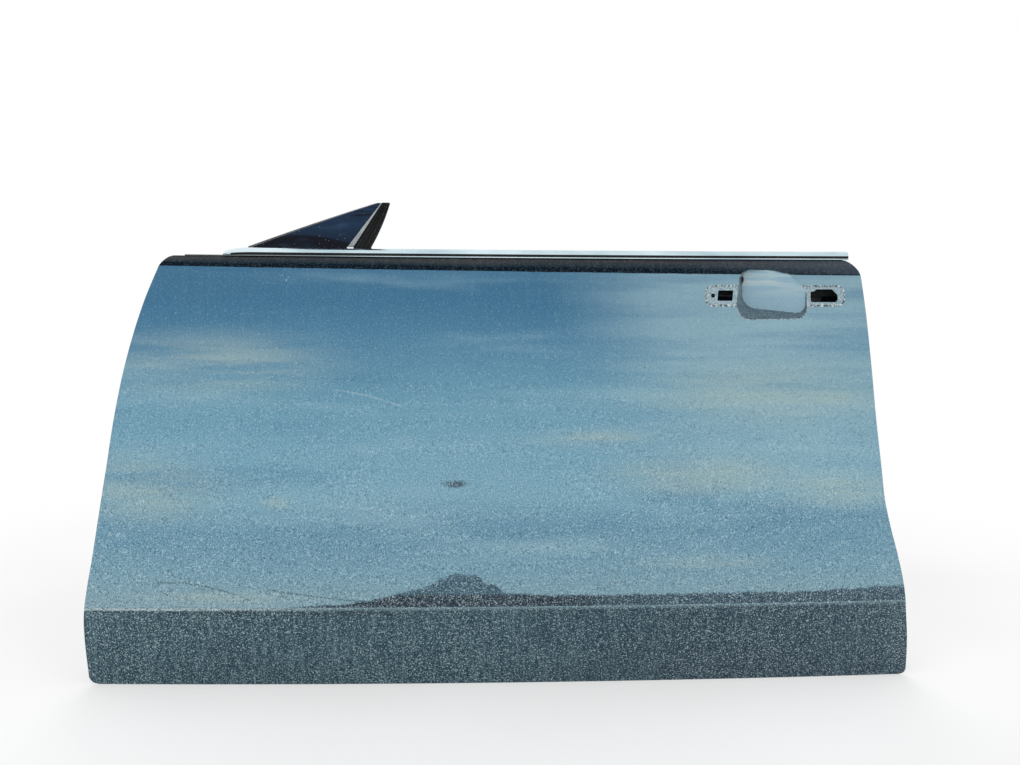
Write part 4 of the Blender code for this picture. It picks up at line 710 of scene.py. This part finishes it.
class Field(Worked):
    """A number worked out by shader nodes, so that a mask can be written as a sum."""

    def math(self, operation, *others):
        node = add_node(self.tree, "Math", self, *others)
        node.operation = operation
        return Field(self.tree, node.outputs[0])

    __add__ = partialmethod(math, "ADD")
    __sub__ = partialmethod(math, "SUBTRACT")
    __mul__ = partialmethod(math, "MULTIPLY")
    __truediv__ = partialmethod(math, "DIVIDE")
    least = partialmethod(math, "MINIMUM")
    most = partialmethod(math, "MAXIMUM")
    absolute = partialmethod(math, "ABSOLUTE")

    def length(self, other):
        """How far from 0 the place with these two coordinates is."""
        return (self * self + other * other).math("SQRT")

    def step(self, low, high):
        """0 up to low and 1 from high on, smooth between. It falls where low is the larger."""
        node = add_node(self.tree, "MapRange", value=self, from_min=low, from_max=high)
        node.interpolation_type = "SMOOTHSTEP"
        return Field(self.tree, node.outputs["Result"])

    def band(self, half, core):
        """1 within core of 0, and 0 further off than half."""
        return self.absolute().step(half, core)

    def between(self, start, full, fading, end):
        """1 from full to fading, and 0 before start and after end."""
        return self.step(start, full) * self.step(end, fading)

    def lifted(self, least):
        """The field with its 0 brought up to this number and its 1 kept."""
        return self * (1 - least) + least

    def ramp(self, stops, interpolation="LINEAR"):
        """The colour at this share among (share, colour) stops."""
        node = add_node(self.tree, "ValToRGB", self)
        band = node.color_ramp
        band.interpolation = interpolation
        band.elements[0].position, band.elements[0].color = stops[0]
        band.elements[1].position, band.elements[1].color = stops[-1]
        for share, colour in stops[1:-1]:
            band.elements.new(share).color = colour
        return Tint(self.tree, node.outputs["Color"])

    def levels(self, stops):
        """The number at this share among (share, number) stops."""
        tint = self.ramp([(share, (v, v, v, 1)) for share, v in stops], "EASE")
        return Field(self.tree, add_node(self.tree, "RGBToBW", tint).outputs[0])


def linear(channel):
    share = channel / 255
    return share / 12.92 if share <= 0.04045 else ((share + 0.055) / 1.055) ** 2.4


def colour(red, green, blue):
    """A colour as written in a picture, made linear."""
    return (linear(red), linear(green), linear(blue), 1)


class Finish:
    """A procedural material in the making. x, y and z are the place on the door."""

    def __init__(self, name, **settings):
        self.material = bpy.data.materials.new(name)
        self.material.use_nodes = True
        self.tree = self.material.node_tree
        self.shader = self.tree.nodes["Principled BSDF"]
        for key, value in settings.items():
            self.set(key.replace("_", " ").title().replace("Ior", "IOR"), value)
        place = add_node(self.tree, "TexCoord").outputs["Object"]
        moved = add_node(self.tree, "VectorMath", place, DATUM)
        moved.operation = "SUBTRACT"
        self.place = moved.outputs[0]
        split = add_node(self.tree, "SeparateXYZ", self.place)
        self.x, self.y, self.z = (Field(self.tree, socket) for socket in split.outputs)

    def set(self, name, value):
        join(self.tree, self.shader.inputs[name], value)

    @property
    def depth(self):
        """How far the sheet is pressed in here, as the skin's mesh carries it."""
        node = add_node(self.tree, "Attribute")
        node.attribute_name = PRESSED
        return Field(self.tree, node.outputs["Fac"])

    @property
    def outward(self):
        """1 where the surface faces straight outboard."""
        normal = add_node(self.tree, "NewGeometry").outputs["Normal"]
        split = add_node(self.tree, "SeparateXYZ", normal)
        return Field(self.tree, split.outputs[1]) * -1

    def stretched(self, stretch, shift):
        moved = (shift, shift / 2, shift / 3)
        node = add_node(self.tree, "Mapping", vector=self.place, location=moved, scale=stretch)
        return node.outputs[0]

    def noise(self, scale, stretch=(1, 1, 1), detail=3, shift=0, roughness=0.5):
        node = add_node(
            self.tree, "TexNoise", vector=self.stretched(stretch, shift), scale=scale,
            detail=detail, roughness=roughness,
        )
        return Field(self.tree, node.outputs[0])

    def waver(self, reach, *settings):
        """Noise round 0, for an edge that wanders by about half this reach."""
        return (self.noise(*settings) - 0.5) * reach

    def grains(self, scale, shift=0):
        """The distance to the nearest grain, in its own size, and the grain's chance number."""
        place = self.stretched((1, 1, 1), shift)
        node = add_node(self.tree, "TexVoronoi", vector=place, scale=scale)
        split = add_node(self.tree, "SeparateColor", node.outputs["Color"])
        return Field(self.tree, node.outputs["Distance"]), Field(self.tree, split.outputs[0])

    def specks(self, scale, amount, size):
        """A mask of small specks. amount, a number or a field, is the share of cells with one."""
        distance, chance = self.grains(scale)
        near = distance.step(size, size * 0.55)
        if isinstance(amount, Field):
            return near * (amount - chance).step(0, 0.04)
        return near * chance.step(amount, amount * 0.96)

    def spot(self, x, z, half_width, half_height, soft=0.6):
        """A mask round one place on the door, seen from the side."""
        across = (self.x - x) / half_width
        up = (self.z - z) / half_height
        return across.length(up).step(1, 1 - soft)

    def spots(self, places, *shape):
        """A mask round each of these places."""
        mask = self.spot(*places[0], *shape)
        for place in places[1:]:
            mask = mask.most(self.spot(*place, *shape))
        return mask

    def box_edge(self, box, radius):
        """The distance outside a rounded box, seen from the side."""
        left, right, low, high = box
        across = (self.x - (left + right) / 2).absolute() - ((right - left) / 2 - radius)
        up = (self.z - (low + high) / 2).absolute() - ((high - low) / 2 - radius)
        return across.most(0).length(up.most(0)) + across.most(up).least(0) - radius

    def done(self, tint, roughness, height=None, distance=None):
        self.set("Base Color", tint)
        self.set("Roughness", roughness)
        if height:
            bump = add_node(self.tree, "Bump", distance=distance, height=height)
            self.set("Normal", bump.outputs[0])
        return self.material


# Finishes
# What the clear coat adds to a colour, and how brightly the studio lights what is under it
GLOSS = 0.022
LIGHT = 0.99


def seen(red, green, blue):
    """The paint under the clear coat that is seen as this colour."""
    return (*(max((channel - GLOSS) / LIGHT, 0.002) for channel in colour(red, green, blue)[:3]), 1)


# The paint's own shades as they are seen, painted reflections of what it mirrors, and the dirt on it
VEIL = seen(140, 170, 180)
SOFT_BLUE = seen(96, 140, 163)
PALE_STREAK = seen(150, 182, 194)
DEEP_STREAK = seen(70, 116, 146)
WARM_PALE = seen(156, 175, 172)
HILLS = seen(56, 82, 98)
HILL_FOOT = seen(18, 48, 58)
CREASE_DULL = seen(98, 116, 118)
CREASE_BRIGHT = seen(186, 204, 208)
CREASE_LINE = seen(34, 54, 64)
UNDER_CREASE = seen(38, 58, 68)
SHOULDER_REAR = colour(76, 84, 96)
SHOULDER_LINE = colour(6, 18, 30)
SWEEP_PALE = seen(168, 190, 198)
SWEEP_DARK = seen(84, 112, 122)
SMUDGE_DARK = seen(56, 74, 86)
RUN_PALE = seen(130, 160, 168)
RUN_DARK = seen(36, 62, 76)
COLUMN_PALE = seen(104, 134, 142)
TUCK_DARK_REFLECTION = seen(30, 54, 68)
FILM = seen(122, 150, 156)
GRAIN_PALE = seen(188, 212, 218)
GRAIN_DARK = seen(24, 52, 70)
DUST = seen(206, 224, 226)
GRIT = seen(30, 48, 60)
SCOOP_PAINT_AND_REFLECTION = seen(138, 168, 184)
SCOOP_FLOOR = seen(184, 198, 194)
SCOOP_WALL_SHADE = ((0.40, seen(50, 66, 78)), (0.60, seen(108, 124, 132)))
SCOOP_SHADE = seen(16, 30, 38)
PAD_SEALER = ((0.36, seen(104, 134, 150)), (0.62, seen(172, 190, 196)))
BORDER_DIRT = ((0.0, seen(30, 42, 50)), (0.5, seen(128, 140, 142)), (1.0, seen(206, 214, 212)))
INNER_FACE = colour(44, 66, 82)

# The paint's colour by height with a painted reflection laid in: pale sky above the lower crease,
# dark ground below it
PAINT_AND_REFLECTION_BY_HEIGHT = (
    (0.0, seen(45, 69, 81)), (0.10, seen(46, 71, 83)), (0.198, seen(50, 75, 86)),
    (0.206, seen(128, 158, 170)), (0.30, seen(114, 153, 171)), (0.39, seen(103, 145, 167)),
    (0.46, seen(119, 161, 179)), (0.56, seen(115, 158, 178)), (0.71, seen(100, 145, 167)),
    (0.83, seen(78, 123, 151)), (0.90, seen(63, 109, 139)), (0.97, seen(62, 106, 136)),
)
# Painted dark reflection on the paint above the shoulder, by the share of the way to the belt
SHOULDER_BY_HEIGHT = (
    (0.0, colour(2, 16, 28)), (0.28, colour(6, 22, 34)), (0.50, colour(38, 48, 56)),
    (0.80, colour(62, 62, 64)), (1.0, colour(36, 44, 50)),
)
# How far the bands of paint and its painted reflection wander up and down
WARP = 0.055
# Share of the length, and the share of its full reach that the dark band of painted reflection over
# the crease has there
SKYLINE = (
    (0.0, 0.0), (0.20, 0.0), (0.30, 0.12), (0.35, 0.30), (0.38, 0.50), (0.405, 0.64),
    (0.419, 0.86), (0.440, 1.0), (0.458, 0.94), (0.476, 0.70), (0.498, 0.42), (0.56, 0.35),
    (0.84, 0.36), (1.0, 0.52),
)
SKYLINE_REACH = 0.062
SKYLINE_RAGGED = 0.016
# Centre and half size of each warm pale patch in the painted sky reflection
PALE_PATCHES = (
    (0.100, 0.350, 0.185, 0.090), (0.317, 0.326, 0.036, 0.015), (0.820, 0.430, 0.160, 0.026),
    (1.000, 0.372, 0.230, 0.050), (1.120, 0.505, 0.280, 0.060), (0.220, 0.550, 0.270, 0.070),
    (1.240, 0.345, 0.150, 0.046), (1.215, 0.498, 0.090, 0.030), (0.220, 0.163, 0.200, 0.018),
    (1.020, 0.222, 0.170, 0.020),
)
# Centre and half size of a soft blue patch of painted sky reflection
BLUE_PATCH = (0.54, 0.290, 0.34, 0.07)
PATCH_SOFT = 0.95
# Vertex, curvature, start and end of each fine sweep across the paint, and whether it is pale
SWEEPS = (
    (0.14, 0.190, -1.76, 0.11, 0.295, False), (0.30, 0.1207, 1.855, 0.119, 0.170, False),
    (0.55, 0.154, 0.40, 0.28, 0.47, False), (0.38, 0.510, -1.45, 0.405, 0.535, True),
)
SWEEP_HALF_WIDTH = 0.0026
SWEEP_CORE = 0.0003
# Centres of the clusters of big specks, and the half size and softness of each
SPECK_CLUSTERS = ((0.192, 0.188), (0.180, 0.250), (0.330, 0.684), (0.640, 0.166))
CLUSTER = (0.009, 0.006, 0.5)
SMUDGE = (0.6026, 0.3576, 0.028, 0.0088)
SHADED_CORNER = (1.0670, 0.6830, 0.0085, 0.0095)
# How far the dirt of the landing pads reaches under the scoop's edge
DIRT_BAND = 0.018


def body_paint():
    made = Finish("body_paint", coat_weight=1.0, coat_roughness=0.08, coat_ior=1.3)
    across = made.x / LENGTH
    warp = made.waver(WARP, 2.6, (1, 1, 0.8), 3, 11)
    fade = made.z.step(LOWER_CREASE_HEIGHT + 0.01, LOWER_CREASE_HEIGHT + 0.10)
    tint = ((made.z + warp * fade) / BELT_HEIGHT).ramp(PAINT_AND_REFLECTION_BY_HEIGHT)
    tint = sky_reflection(made, tint)
    tint = lower_reflection(made, tint, across)
    tint, folded = shoulder_band(made, tint, across)
    made.set("Coat Weight", folded * -0.96 + 1)
    made.set("Specular IOR Level", folded * -0.12 + 0.12)
    tint = marks(made, tint)
    tint, low_down = weather(made, tint, across)
    tint, borders = recess_tint(made, tint)
    tint, dust = dusty(made, tint)
    tint = tint.mixed(INNER_FACE, made.outward.step(0.0, -0.1))
    rough = dust * 0.3 + low_down * 0.14 + borders * 0.3 + 0.24
    peel = made.noise(300, detail=1, shift=1) * 0.12
    return made.done(tint, rough, peel + borders * 0.8, 0.0004)


def sky_reflection(made, tint):
    """Painted sky reflection: soft level streaks and warm pale patches laid into the paint's colour.
    """
    above = made.z.between(0.17, 0.24, 0.665, 0.71)
    veil = made.noise(4, (0.6, 1, 9), 4, 6).step(0.34, 0.60).lifted(0.45)
    veil = veil * (made.x + made.z * 0.25).step(0.90, 1.13)
    veil = veil * (made.z.step(0.43, 0.50) * 0.33 + made.z.step(0.25, 0.34) * 0.40)
    tint = tint.mixed(VEIL, veil)
    tint = tint.mixed(SOFT_BLUE, made.spot(*BLUE_PATCH, PATCH_SOFT) * 0.6)
    clouds = made.noise(2.8, (0.7, 1, 5.5), 5, 3, 0.55)
    tint = tint.mixed(PALE_STREAK, clouds.step(0.50, 0.80) * above * 0.55)
    tint = tint.mixed(DEEP_STREAK, clouds.step(0.47, 0.26) * above * 0.45)
    streaks = made.noise(5, (0.5, 1, 6.5), 4, 19, 0.6).step(0.36, 0.58).lifted(0.2)
    return tint.mixed(WARM_PALE, made.spots(PALE_PATCHES, PATCH_SOFT) * streaks * 0.58)


def lower_reflection(made, tint, across):
    """Painted reflection: the dark band over the lower crease, with its one hump, a painted
    highlight along the crease, and painted dark lines just under it.
    """
    above = made.z - LOWER_CREASE_HEIGHT
    ragged = made.waver(SKYLINE_RAGGED, 70, (1, 1, 1), 4, 5, 0.65)
    skyline = across.levels(SKYLINE) * SKYLINE_REACH
    dark = (skyline + ragged * skyline.step(0.0, 0.02) - above).step(-0.0016, 0.0034)
    dark = dark * above.step(0.0012, 0.0032) * across.step(0.20, 0.27)
    grain = made.noise(420, detail=2, shift=14).step(0.35, 0.70) * 0.22
    tint = tint.mixed(HILLS, dark * (grain * -1 + 0.96))
    centre = (across - 0.44).band(0.24, 0.10) * 0.5 + 0.48
    gaps = made.noise(380, detail=2, shift=17).step(0.62, 0.46).lifted(0.7)
    low = (above + ragged).step(0.0270, 0.0205) * dark * gaps
    tint = tint.mixed(HILL_FOOT, low * centre)
    # A painted highlight along the crease, speckled and brighter towards the front
    crease_highlight = (above + 0.0016).band(0.0040, 0.0012)
    speckle = made.noise(320, (0.6, 1, 1), 2, 4).step(0.30, 0.62)
    pale = across.step(0.34, 0.14)
    tint = tint.mixed(CREASE_DULL, crease_highlight * (pale * 0.2 + 0.42))
    tint = tint.mixed(CREASE_BRIGHT, crease_highlight * speckle * pale * 0.85)
    # Painted dark reflection in a band just under the crease, and a fine dark line at the front
    under = (above + 0.0082).band(0.0062, 0.0030) * across.between(0.06, 0.16, 0.33, 0.42)
    gaps = made.noise(330, detail=2, shift=15).step(0.62, 0.40).lifted(0.6)
    tint = tint.mixed(UNDER_CREASE, under * gaps * 0.8)
    fine = (above + 0.0062).band(0.0016, 0.0004) * across.step(0.16, 0.06)
    return tint.mixed(CREASE_LINE, fine * 0.8)


def shoulder_band(made, tint, across):
    """Painted dark reflection on the paint above the shoulder, darkest in a ragged line along the
    fold.
    """
    drop = across * (SHOULDER_DROP_REAR - SHOULDER_DROP_FRONT) + SHOULDER_DROP_FRONT
    rise = made.z - BELT_HEIGHT + drop
    streak = made.waver(0.5, 9, (0.4, 1, 14), 3, 8)
    dark = (rise / drop + streak).ramp(SHOULDER_BY_HEIGHT)
    open_skin = made.depth.step(0.0020, 0.0004)
    dark = dark.mixed(SHOULDER_REAR, across.step(0.66, 0.95) * rise.step(0.0, 0.003) * 0.55)
    folded = rise.step(-0.0008, 0.0004) * open_skin
    tint = tint.mixed(dark, folded)
    # The darkest painted reflection, in a ragged line along the fold
    ragged = made.waver(0.006, 60, (0.5, 1, 1), 4, 2, 0.7)
    line = (rise - 0.0022 + ragged).band(0.0034, 0.0014) * open_skin
    return tint.mixed(SHOULDER_LINE, line * across.step(0.98, 0.60) * 0.9), folded


def marks(made, tint):
    """Fine arcs that something swept across the paint, and one dark smudge."""
    broken = made.noise(70, detail=1, shift=18).step(0.20, 0.50) * 0.8
    for x, z, bend, start, end, pale in SWEEPS:
        line = (made.x - x) * (made.x - x) * bend + z
        drawn = (made.z - line).band(SWEEP_HALF_WIDTH, SWEEP_CORE) * (0.45 if pale else 1)
        drawn = drawn * made.x.between(start, start + 0.02, end - 0.03, end)
        tint = tint.mixed(SWEEP_PALE if pale else SWEEP_DARK, drawn * broken)
    grain = made.noise(260, (1, 1, 0.3), 2, 5).step(0.34, 0.52).lifted(0.4)
    return tint.mixed(SMUDGE_DARK, made.spot(*SMUDGE, 0.75) * grain * 0.92)


def weather(made, tint, across):
    """Run-off streaks down the door, a film of road dirt that thickens towards the hem, and painted
    dark reflection in the tuck, deeper towards the rear.
    """
    low_down = made.z.step(0.44, 0.02)
    tuck = made.z.step(LOWER_CREASE_HEIGHT + 0.002, LOWER_CREASE_HEIGHT - 0.006)
    runs = made.noise(170, (1, 0.2, 0.05), 4, 7, 0.7)
    columns = made.noise(26, (1, 0.2, 0.10), 3, 13)
    streaked = tuck * 0.12 + low_down * 0.12
    tint = tint.mixed(RUN_PALE, runs.step(0.48, 0.70) * (streaked + 0.05))
    tint = tint.mixed(COLUMN_PALE, columns.step(0.52, 0.72) * streaked * 0.7)
    tint = tint.mixed(RUN_DARK, runs.step(0.46, 0.28) * (tuck * 0.22 + low_down * 0.07 + 0.04))
    # Painted dark reflection in the tuck under the crease, deeper towards the rear
    tint = tint.mixed(TUCK_DARK_REFLECTION, tuck * across.step(0.40, 0.75) * 0.5)
    film = made.noise(260, detail=3, shift=9, roughness=0.8)
    filmed = film.step(0.52, 0.72) * (tuck * 0.20 + low_down * 0.16 + 0.04)
    return tint.mixed(FILM, filmed), low_down


def dusty(made, tint):
    """Pale specks of dust, thick low down, clusters of bigger ones, and a few dark ones."""
    settled_dust = made.z.step(0.60, 0.10)
    patchy = made.noise(4, detail=3, shift=12).step(0.25, 0.70).lifted(0.3)
    grain = made.noise(430, detail=1, shift=16)
    much = settled_dust * 0.44 + made.z.step(0.70, 0.45) * 0.18 + 0.10
    tint = tint.mixed(GRAIN_PALE, grain.step(0.52, 0.78) * much)
    tint = tint.mixed(GRAIN_DARK, grain.step(0.48, 0.22) * much)
    fine = made.specks(480, settled_dust * 0.30 + 0.02, 0.36) * 0.9
    crowd = made.spots(SPECK_CLUSTERS, *CLUSTER)
    distance, chance = made.grains(300, shift=4)
    near = distance.step(0.32, 0.17)
    share = crowd * 0.75 + settled_dust * 0.19 + 0.008
    coarse = near * (share - chance).step(0, 0.04)
    dust = fine.most(coarse) * patchy.most(crowd)
    tint = tint.mixed(DUST, dust * 0.88)
    grit = near * chance.step(0.9955, 0.9970)
    return tint.mixed(GRIT, grit * 0.7), dust


def recess_tint(made, tint):
    """The scoop's paint with a painted sky reflection, paler and streaked high up, painted shade on
    its walls and in its upper front corner, and the dirty sealer on the handle's landing pads.
    """
    mottle = made.noise(380, detail=4, shift=6, roughness=0.7)
    depth, outward = made.depth, made.outward
    inside = depth.step(0.0019, 0.0027)
    wall = outward.step(0.90, 0.72) * inside
    streaks = made.noise(20, (0.5, 1, 5), 4, 4).step(0.40, 0.62)
    floor = (made.z - PAD_MIDDLE).step(-0.012, 0.030)
    # Painted sky reflection inside the scoop, paler and streaked high up, and painted shade on its
    # walls
    tint = tint.mixed(SCOOP_PAINT_AND_REFLECTION, inside * 0.85)
    tint = tint.mixed(SCOOP_FLOOR, inside * floor * streaks * 0.6)
    tint = tint.mixed(mottle.ramp(SCOOP_WALL_SHADE), wall * 0.9)
    tint = tint.mixed(SCOOP_SHADE, made.spot(*SHADED_CORNER, 0.2) * inside * 0.95)
    heights = FRONT_PAD.box[2:]
    front = made.box_edge((FRONT_PAD_START, CUP_LEFT + DIRT_BAND, *heights), FRONT_PAD_RADIUS)
    rear = made.box_edge((CUP_RIGHT - DIRT_BAND, REAR_PAD_END, *heights), REAR_PAD_RADIUS)
    pads = front.least(rear).step(0.0006, -0.0006)
    border = front.absolute().least(rear.absolute()).step(0.0018, 0.0006)
    clear = inside.step(1, 0)
    tint = tint.mixed(mottle.ramp(PAD_SEALER), pads * clear * 0.8)
    rim = depth.step(0.0004, 0.0016) * outward.step(0.985, 0.93) * wall.step(0.9, 0.2)
    border = border.most(rim * 0.8) * clear
    blotch = made.noise(300, detail=3, shift=3, roughness=0.7).step(0.44, 0.56)
    return tint.mixed(blotch.ramp(BORDER_DIRT), border * 0.85), border


def plain_finish(
    name, base, light, dark, roughness, metallic=0.0, coat=0.0, grain=260, bump=0.0002
):
    """A finish with mottling, settled dust and fine grain."""
    made = Finish(name, metallic=metallic, coat_weight=coat, coat_roughness=0.12, coat_ior=1.35)
    mottle = made.noise(18, detail=5, roughness=0.62)
    fine = made.noise(grain, detail=3, shift=2)
    tint = mottle.ramp(((0.3, dark), (0.52, base), (0.75, light)))
    specks = made.specks(300, 0.03, 0.26)
    tint = tint.mixed(light, specks * 0.5)
    rough = (mottle - 0.5) * 0.25 + fine * 0.12 + (roughness - 0.06) + specks * 0.1
    return made.done(tint, rough, fine + specks * 0.6, bump)


def bright_trim():
    made = Finish("bright_trim", metallic=1.0)
    brushed = made.noise(700, (0.02, 1, 1), 3)
    haze = made.noise(26, (0.4, 1, 1), 4, 3)
    tint = haze.ramp(((0.3, colour(176, 202, 212)), (0.7, colour(224, 240, 246))))
    specks = made.specks(380, 0.06, 0.28)
    tint = tint.mixed(colour(92, 96, 96), specks * 0.6)
    # The bead under the groove is dull at the front, where dirt has built up in it.
    bead = (made.z - BELT_HEIGHT - MOULDING_GAP).step(0.0036, 0.0030)
    tint = tint.mixed(colour(74, 74, 74), bead * made.x.step(0.62, 0.30) * 0.75)
    rough = brushed * 0.10 + haze * 0.14 + specks * 0.3 + 0.08
    return made.done(tint, rough, brushed * 0.4 + specks * 0.5, 0.00008)


def sail_gloss():
    made = Finish(
        "sail_gloss", coat_weight=0.6, coat_roughness=0.05, coat_ior=1.15, specular_ior_level=0.1,
    )
    # Dark navy paint with painted reflections laid in: darker towards the base, a dark rounded crest
    # low on the panel, fine dark dashes high at the rear, and pale clouds
    share = (made.z - SAIL_BASE) / (SAIL_TOP - SAIL_BASE)
    shades = (0.0, colour(14, 26, 44)), (0.45, colour(20, 42, 66)), (1.0, colour(22, 40, 62))
    tint = share.ramp(shades)
    hill = (made.x - 0.355) / 0.085
    crest = hill * hill * -0.20 + 0.26 + made.waver(0.06, 90, (1, 1, 1), 3, 5)
    tint = tint.mixed(colour(4, 7, 20), (crest - share).step(-0.02, 0.03) * 0.95)
    dashes = made.noise(60, (0.25, 1, 4.5), 2, 9).step(0.60, 0.66) * share.step(0.40, 0.60)
    tint = tint.mixed(colour(6, 12, 24), dashes * made.x.step(0.40, 0.43) * 0.8)
    clouds = made.noise(16, (1, 1, 4), 4, 2)
    tint = tint.mixed(colour(60, 92, 120), clouds.step(0.5, 0.8) * 0.35)
    dust = made.specks(420, 0.05, 0.28)
    tint = tint.mixed(colour(190, 200, 204), dust * 0.5)
    height = dust + made.noise(300, detail=1) * 0.15
    return made.done(tint, dust * 0.3 + clouds * 0.08 + 0.14, height, 0.0003)


def black_rubber():
    made = Finish("black_rubber", specular_ior_level=0.25)
    mottle = made.noise(60, detail=5, roughness=0.65)
    pores = made.noise(1400, detail=2, shift=3)
    shades = (0.3, colour(9, 11, 12)), (0.55, colour(17, 19, 21)), (0.8, colour(46, 49, 50))
    tint = mottle.ramp(shades)
    dust = made.specks(500, 0.07, 0.3)
    tint = tint.mixed(colour(150, 152, 148), dust * 0.4)
    return made.done(tint, mottle * 0.2 + pores * 0.1 + 0.42, pores + dust * 0.6, 0.00015)


MATERIALS = {
    "body_paint": body_paint(),
    "sail_gloss": sail_gloss(),
    "inner_paint": plain_finish(
        "inner_paint", colour(40, 62, 80), colour(56, 78, 94), colour(32, 52, 70), 0.36, coat=0.6,
    ),
    "bright_trim": bright_trim(),
    "grey_trim": plain_finish(
        "grey_trim", colour(142, 148, 152), colour(184, 188, 188), colour(104, 110, 116), 0.42,
    ),
    "black_rubber": black_rubber(),
    "primed_steel": plain_finish(
        "primed_steel", colour(92, 96, 98), colour(134, 136, 134), colour(66, 68, 72), 0.5,
        metallic=0.35, grain=420,
    ),
    "mastic": plain_finish(
        "mastic", colour(52, 51, 50), colour(92, 89, 84), colour(32, 31, 31), 0.8,
        grain=160, bump=0.0012,
    ),
}

make_skin()
make_moulding()
make_sail()


# CAD nodes that stay, each with its own finish
def finish_of(name):
    if name == "inner_panel":
        return "inner_paint"
    if "seal" in name or "run" in name or "plug" in name:
        return "black_rubber"
    if "pad" in name:
        return "mastic"
    return "primed_steel"


for name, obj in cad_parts.items():
    if obj.hide_render:
        continue
    obj.data.materials.clear()
    obj.data.materials.append(MATERIALS[finish_of(name)])
    obj.data.shade_smooth()
    obj.data.set_sharp_from_angle(angle=math.radians(NODE_SHARP))

# Studio
FLOOR_HALF = 40
FLOOR_NEAR = 0.9
FLOOR_FAR = 1.7
FLOOR_LEAST = 0.45
FLOOR_TINTS = (0.3, colour(236, 236, 235)), (0.7, colour(250, 250, 250))
WORLD_LIGHT = 0.80
WORLD_TINT = colour(255, 255, 255)
LAMP_AIM = Vector((0.6, 0, 0))
# Name, place, size and power of each lamp
LAMPS = (
    ("key", (-1.2, -3.2, 2.6), (3.0, 2.0), 42),
    ("fill", (2.4, -3.0, 1.4), (2.4, 2.0), 18),
    ("rear", (0.6, 3.4, 2.4), (3.0, 1.6), 40),
)


def seen_directly(tree):
    """1 for what the camera, a reflection or clear glass shows, 0 for the light that it gives."""
    path = add_node(tree, "LightPath")
    share = Field(tree, path.outputs["Is Camera Ray"])
    for name in ("Is Glossy Ray", "Is Transmission Ray"):
        share = share.most(Field(tree, path.outputs[name]))
    return share


def make_floor():
    """A pale floor that keeps the shadow near the door and runs out into the pale background."""
    made = Finish("studio_floor", specular_ior_level=0.1)
    made.done(made.noise(1.2, detail=2).ramp(FLOOR_TINTS), 0.9)
    tree = made.tree
    away = (made.x - LENGTH / 2).length(made.y)
    pale = away.step(FLOOR_NEAR, FLOOR_FAR).lifted(FLOOR_LEAST) * seen_directly(tree)
    glow = add_node(tree, "Emission", color=WORLD_TINT)
    both = add_node(tree, "MixShader", pale, made.shader.outputs[0], glow.outputs[0])
    join(tree, tree.nodes["Material Output"].inputs["Surface"], both.outputs[0])
    corners = ((-1, -1), (1, -1), (1, 1), (-1, 1))
    points = [(x * FLOOR_HALF, y * FLOOR_HALF, 0) for x, y in corners]
    mesh = from_lists("studio_floor", points, [(0, 1, 2, 3)])
    mesh.materials.append(made.material)
    add_object("studio_floor", mesh)


def make_world():
    world = bpy.data.worlds.new("studio")
    bpy.context.scene.world = world
    world.use_nodes = True
    tree = world.node_tree
    background = tree.nodes["Background"]
    background.inputs["Color"].default_value = WORLD_TINT
    join(tree, background.inputs["Strength"], seen_directly(tree).lifted(WORLD_LIGHT))


def add_lamp(name, place, size, power):
    lamp = bpy.data.lights.new(name, "AREA")
    lamp.shape = "RECTANGLE"
    lamp.size, lamp.size_y = size
    lamp.energy = power
    obj = add_object(name, lamp)
    obj.location = place
    obj.rotation_euler = (Vector(place) - LAMP_AIM).to_track_quat("Z", "Y").to_euler()
    obj.visible_glossy = False


# Camera: what it looks at, from where and how it is turned
AIM = Vector((0.6896, -0.100, 0.5215))
CAMERA_AZIMUTH = math.radians(-4)
CAMERA_ELEVATION = math.radians(10)
CAMERA_DISTANCE = 2.5
CAMERA_ROLL = math.radians(0.83)
FOCAL_PIXELS = 1562.5
PICTURE_WIDTH = 1020
SENSOR_WIDTH = 36


def make_camera():
    cos_e, sin_e = math.cos(CAMERA_ELEVATION), math.sin(CAMERA_ELEVATION)
    cos_a, sin_a = math.cos(CAMERA_AZIMUTH), math.sin(CAMERA_AZIMUTH)
    back = Vector((sin_a * cos_e, -cos_a * cos_e, sin_e))
    level = Vector((cos_a, sin_a, 0))
    rise = back.cross(level)
    cos_r, sin_r = math.cos(CAMERA_ROLL), math.sin(CAMERA_ROLL)
    right = level * cos_r + rise * sin_r
    up = rise * cos_r - level * sin_r
    turn = Matrix((right, up, back)).transposed().to_4x4()
    data = bpy.data.cameras.new("camera")
    data.sensor_width = SENSOR_WIDTH
    data.lens = SENSOR_WIDTH * FOCAL_PIXELS / PICTURE_WIDTH
    camera = add_object("camera", data)
    camera.matrix_world = Matrix.Translation(DATUM + AIM + back * CAMERA_DISTANCE) @ turn
    bpy.context.scene.camera = camera


make_floor()
make_world()
for lamp in LAMPS:
    add_lamp(*lamp)
make_camera()
bpy.context.scene.view_settings.view_transform = "Standard"
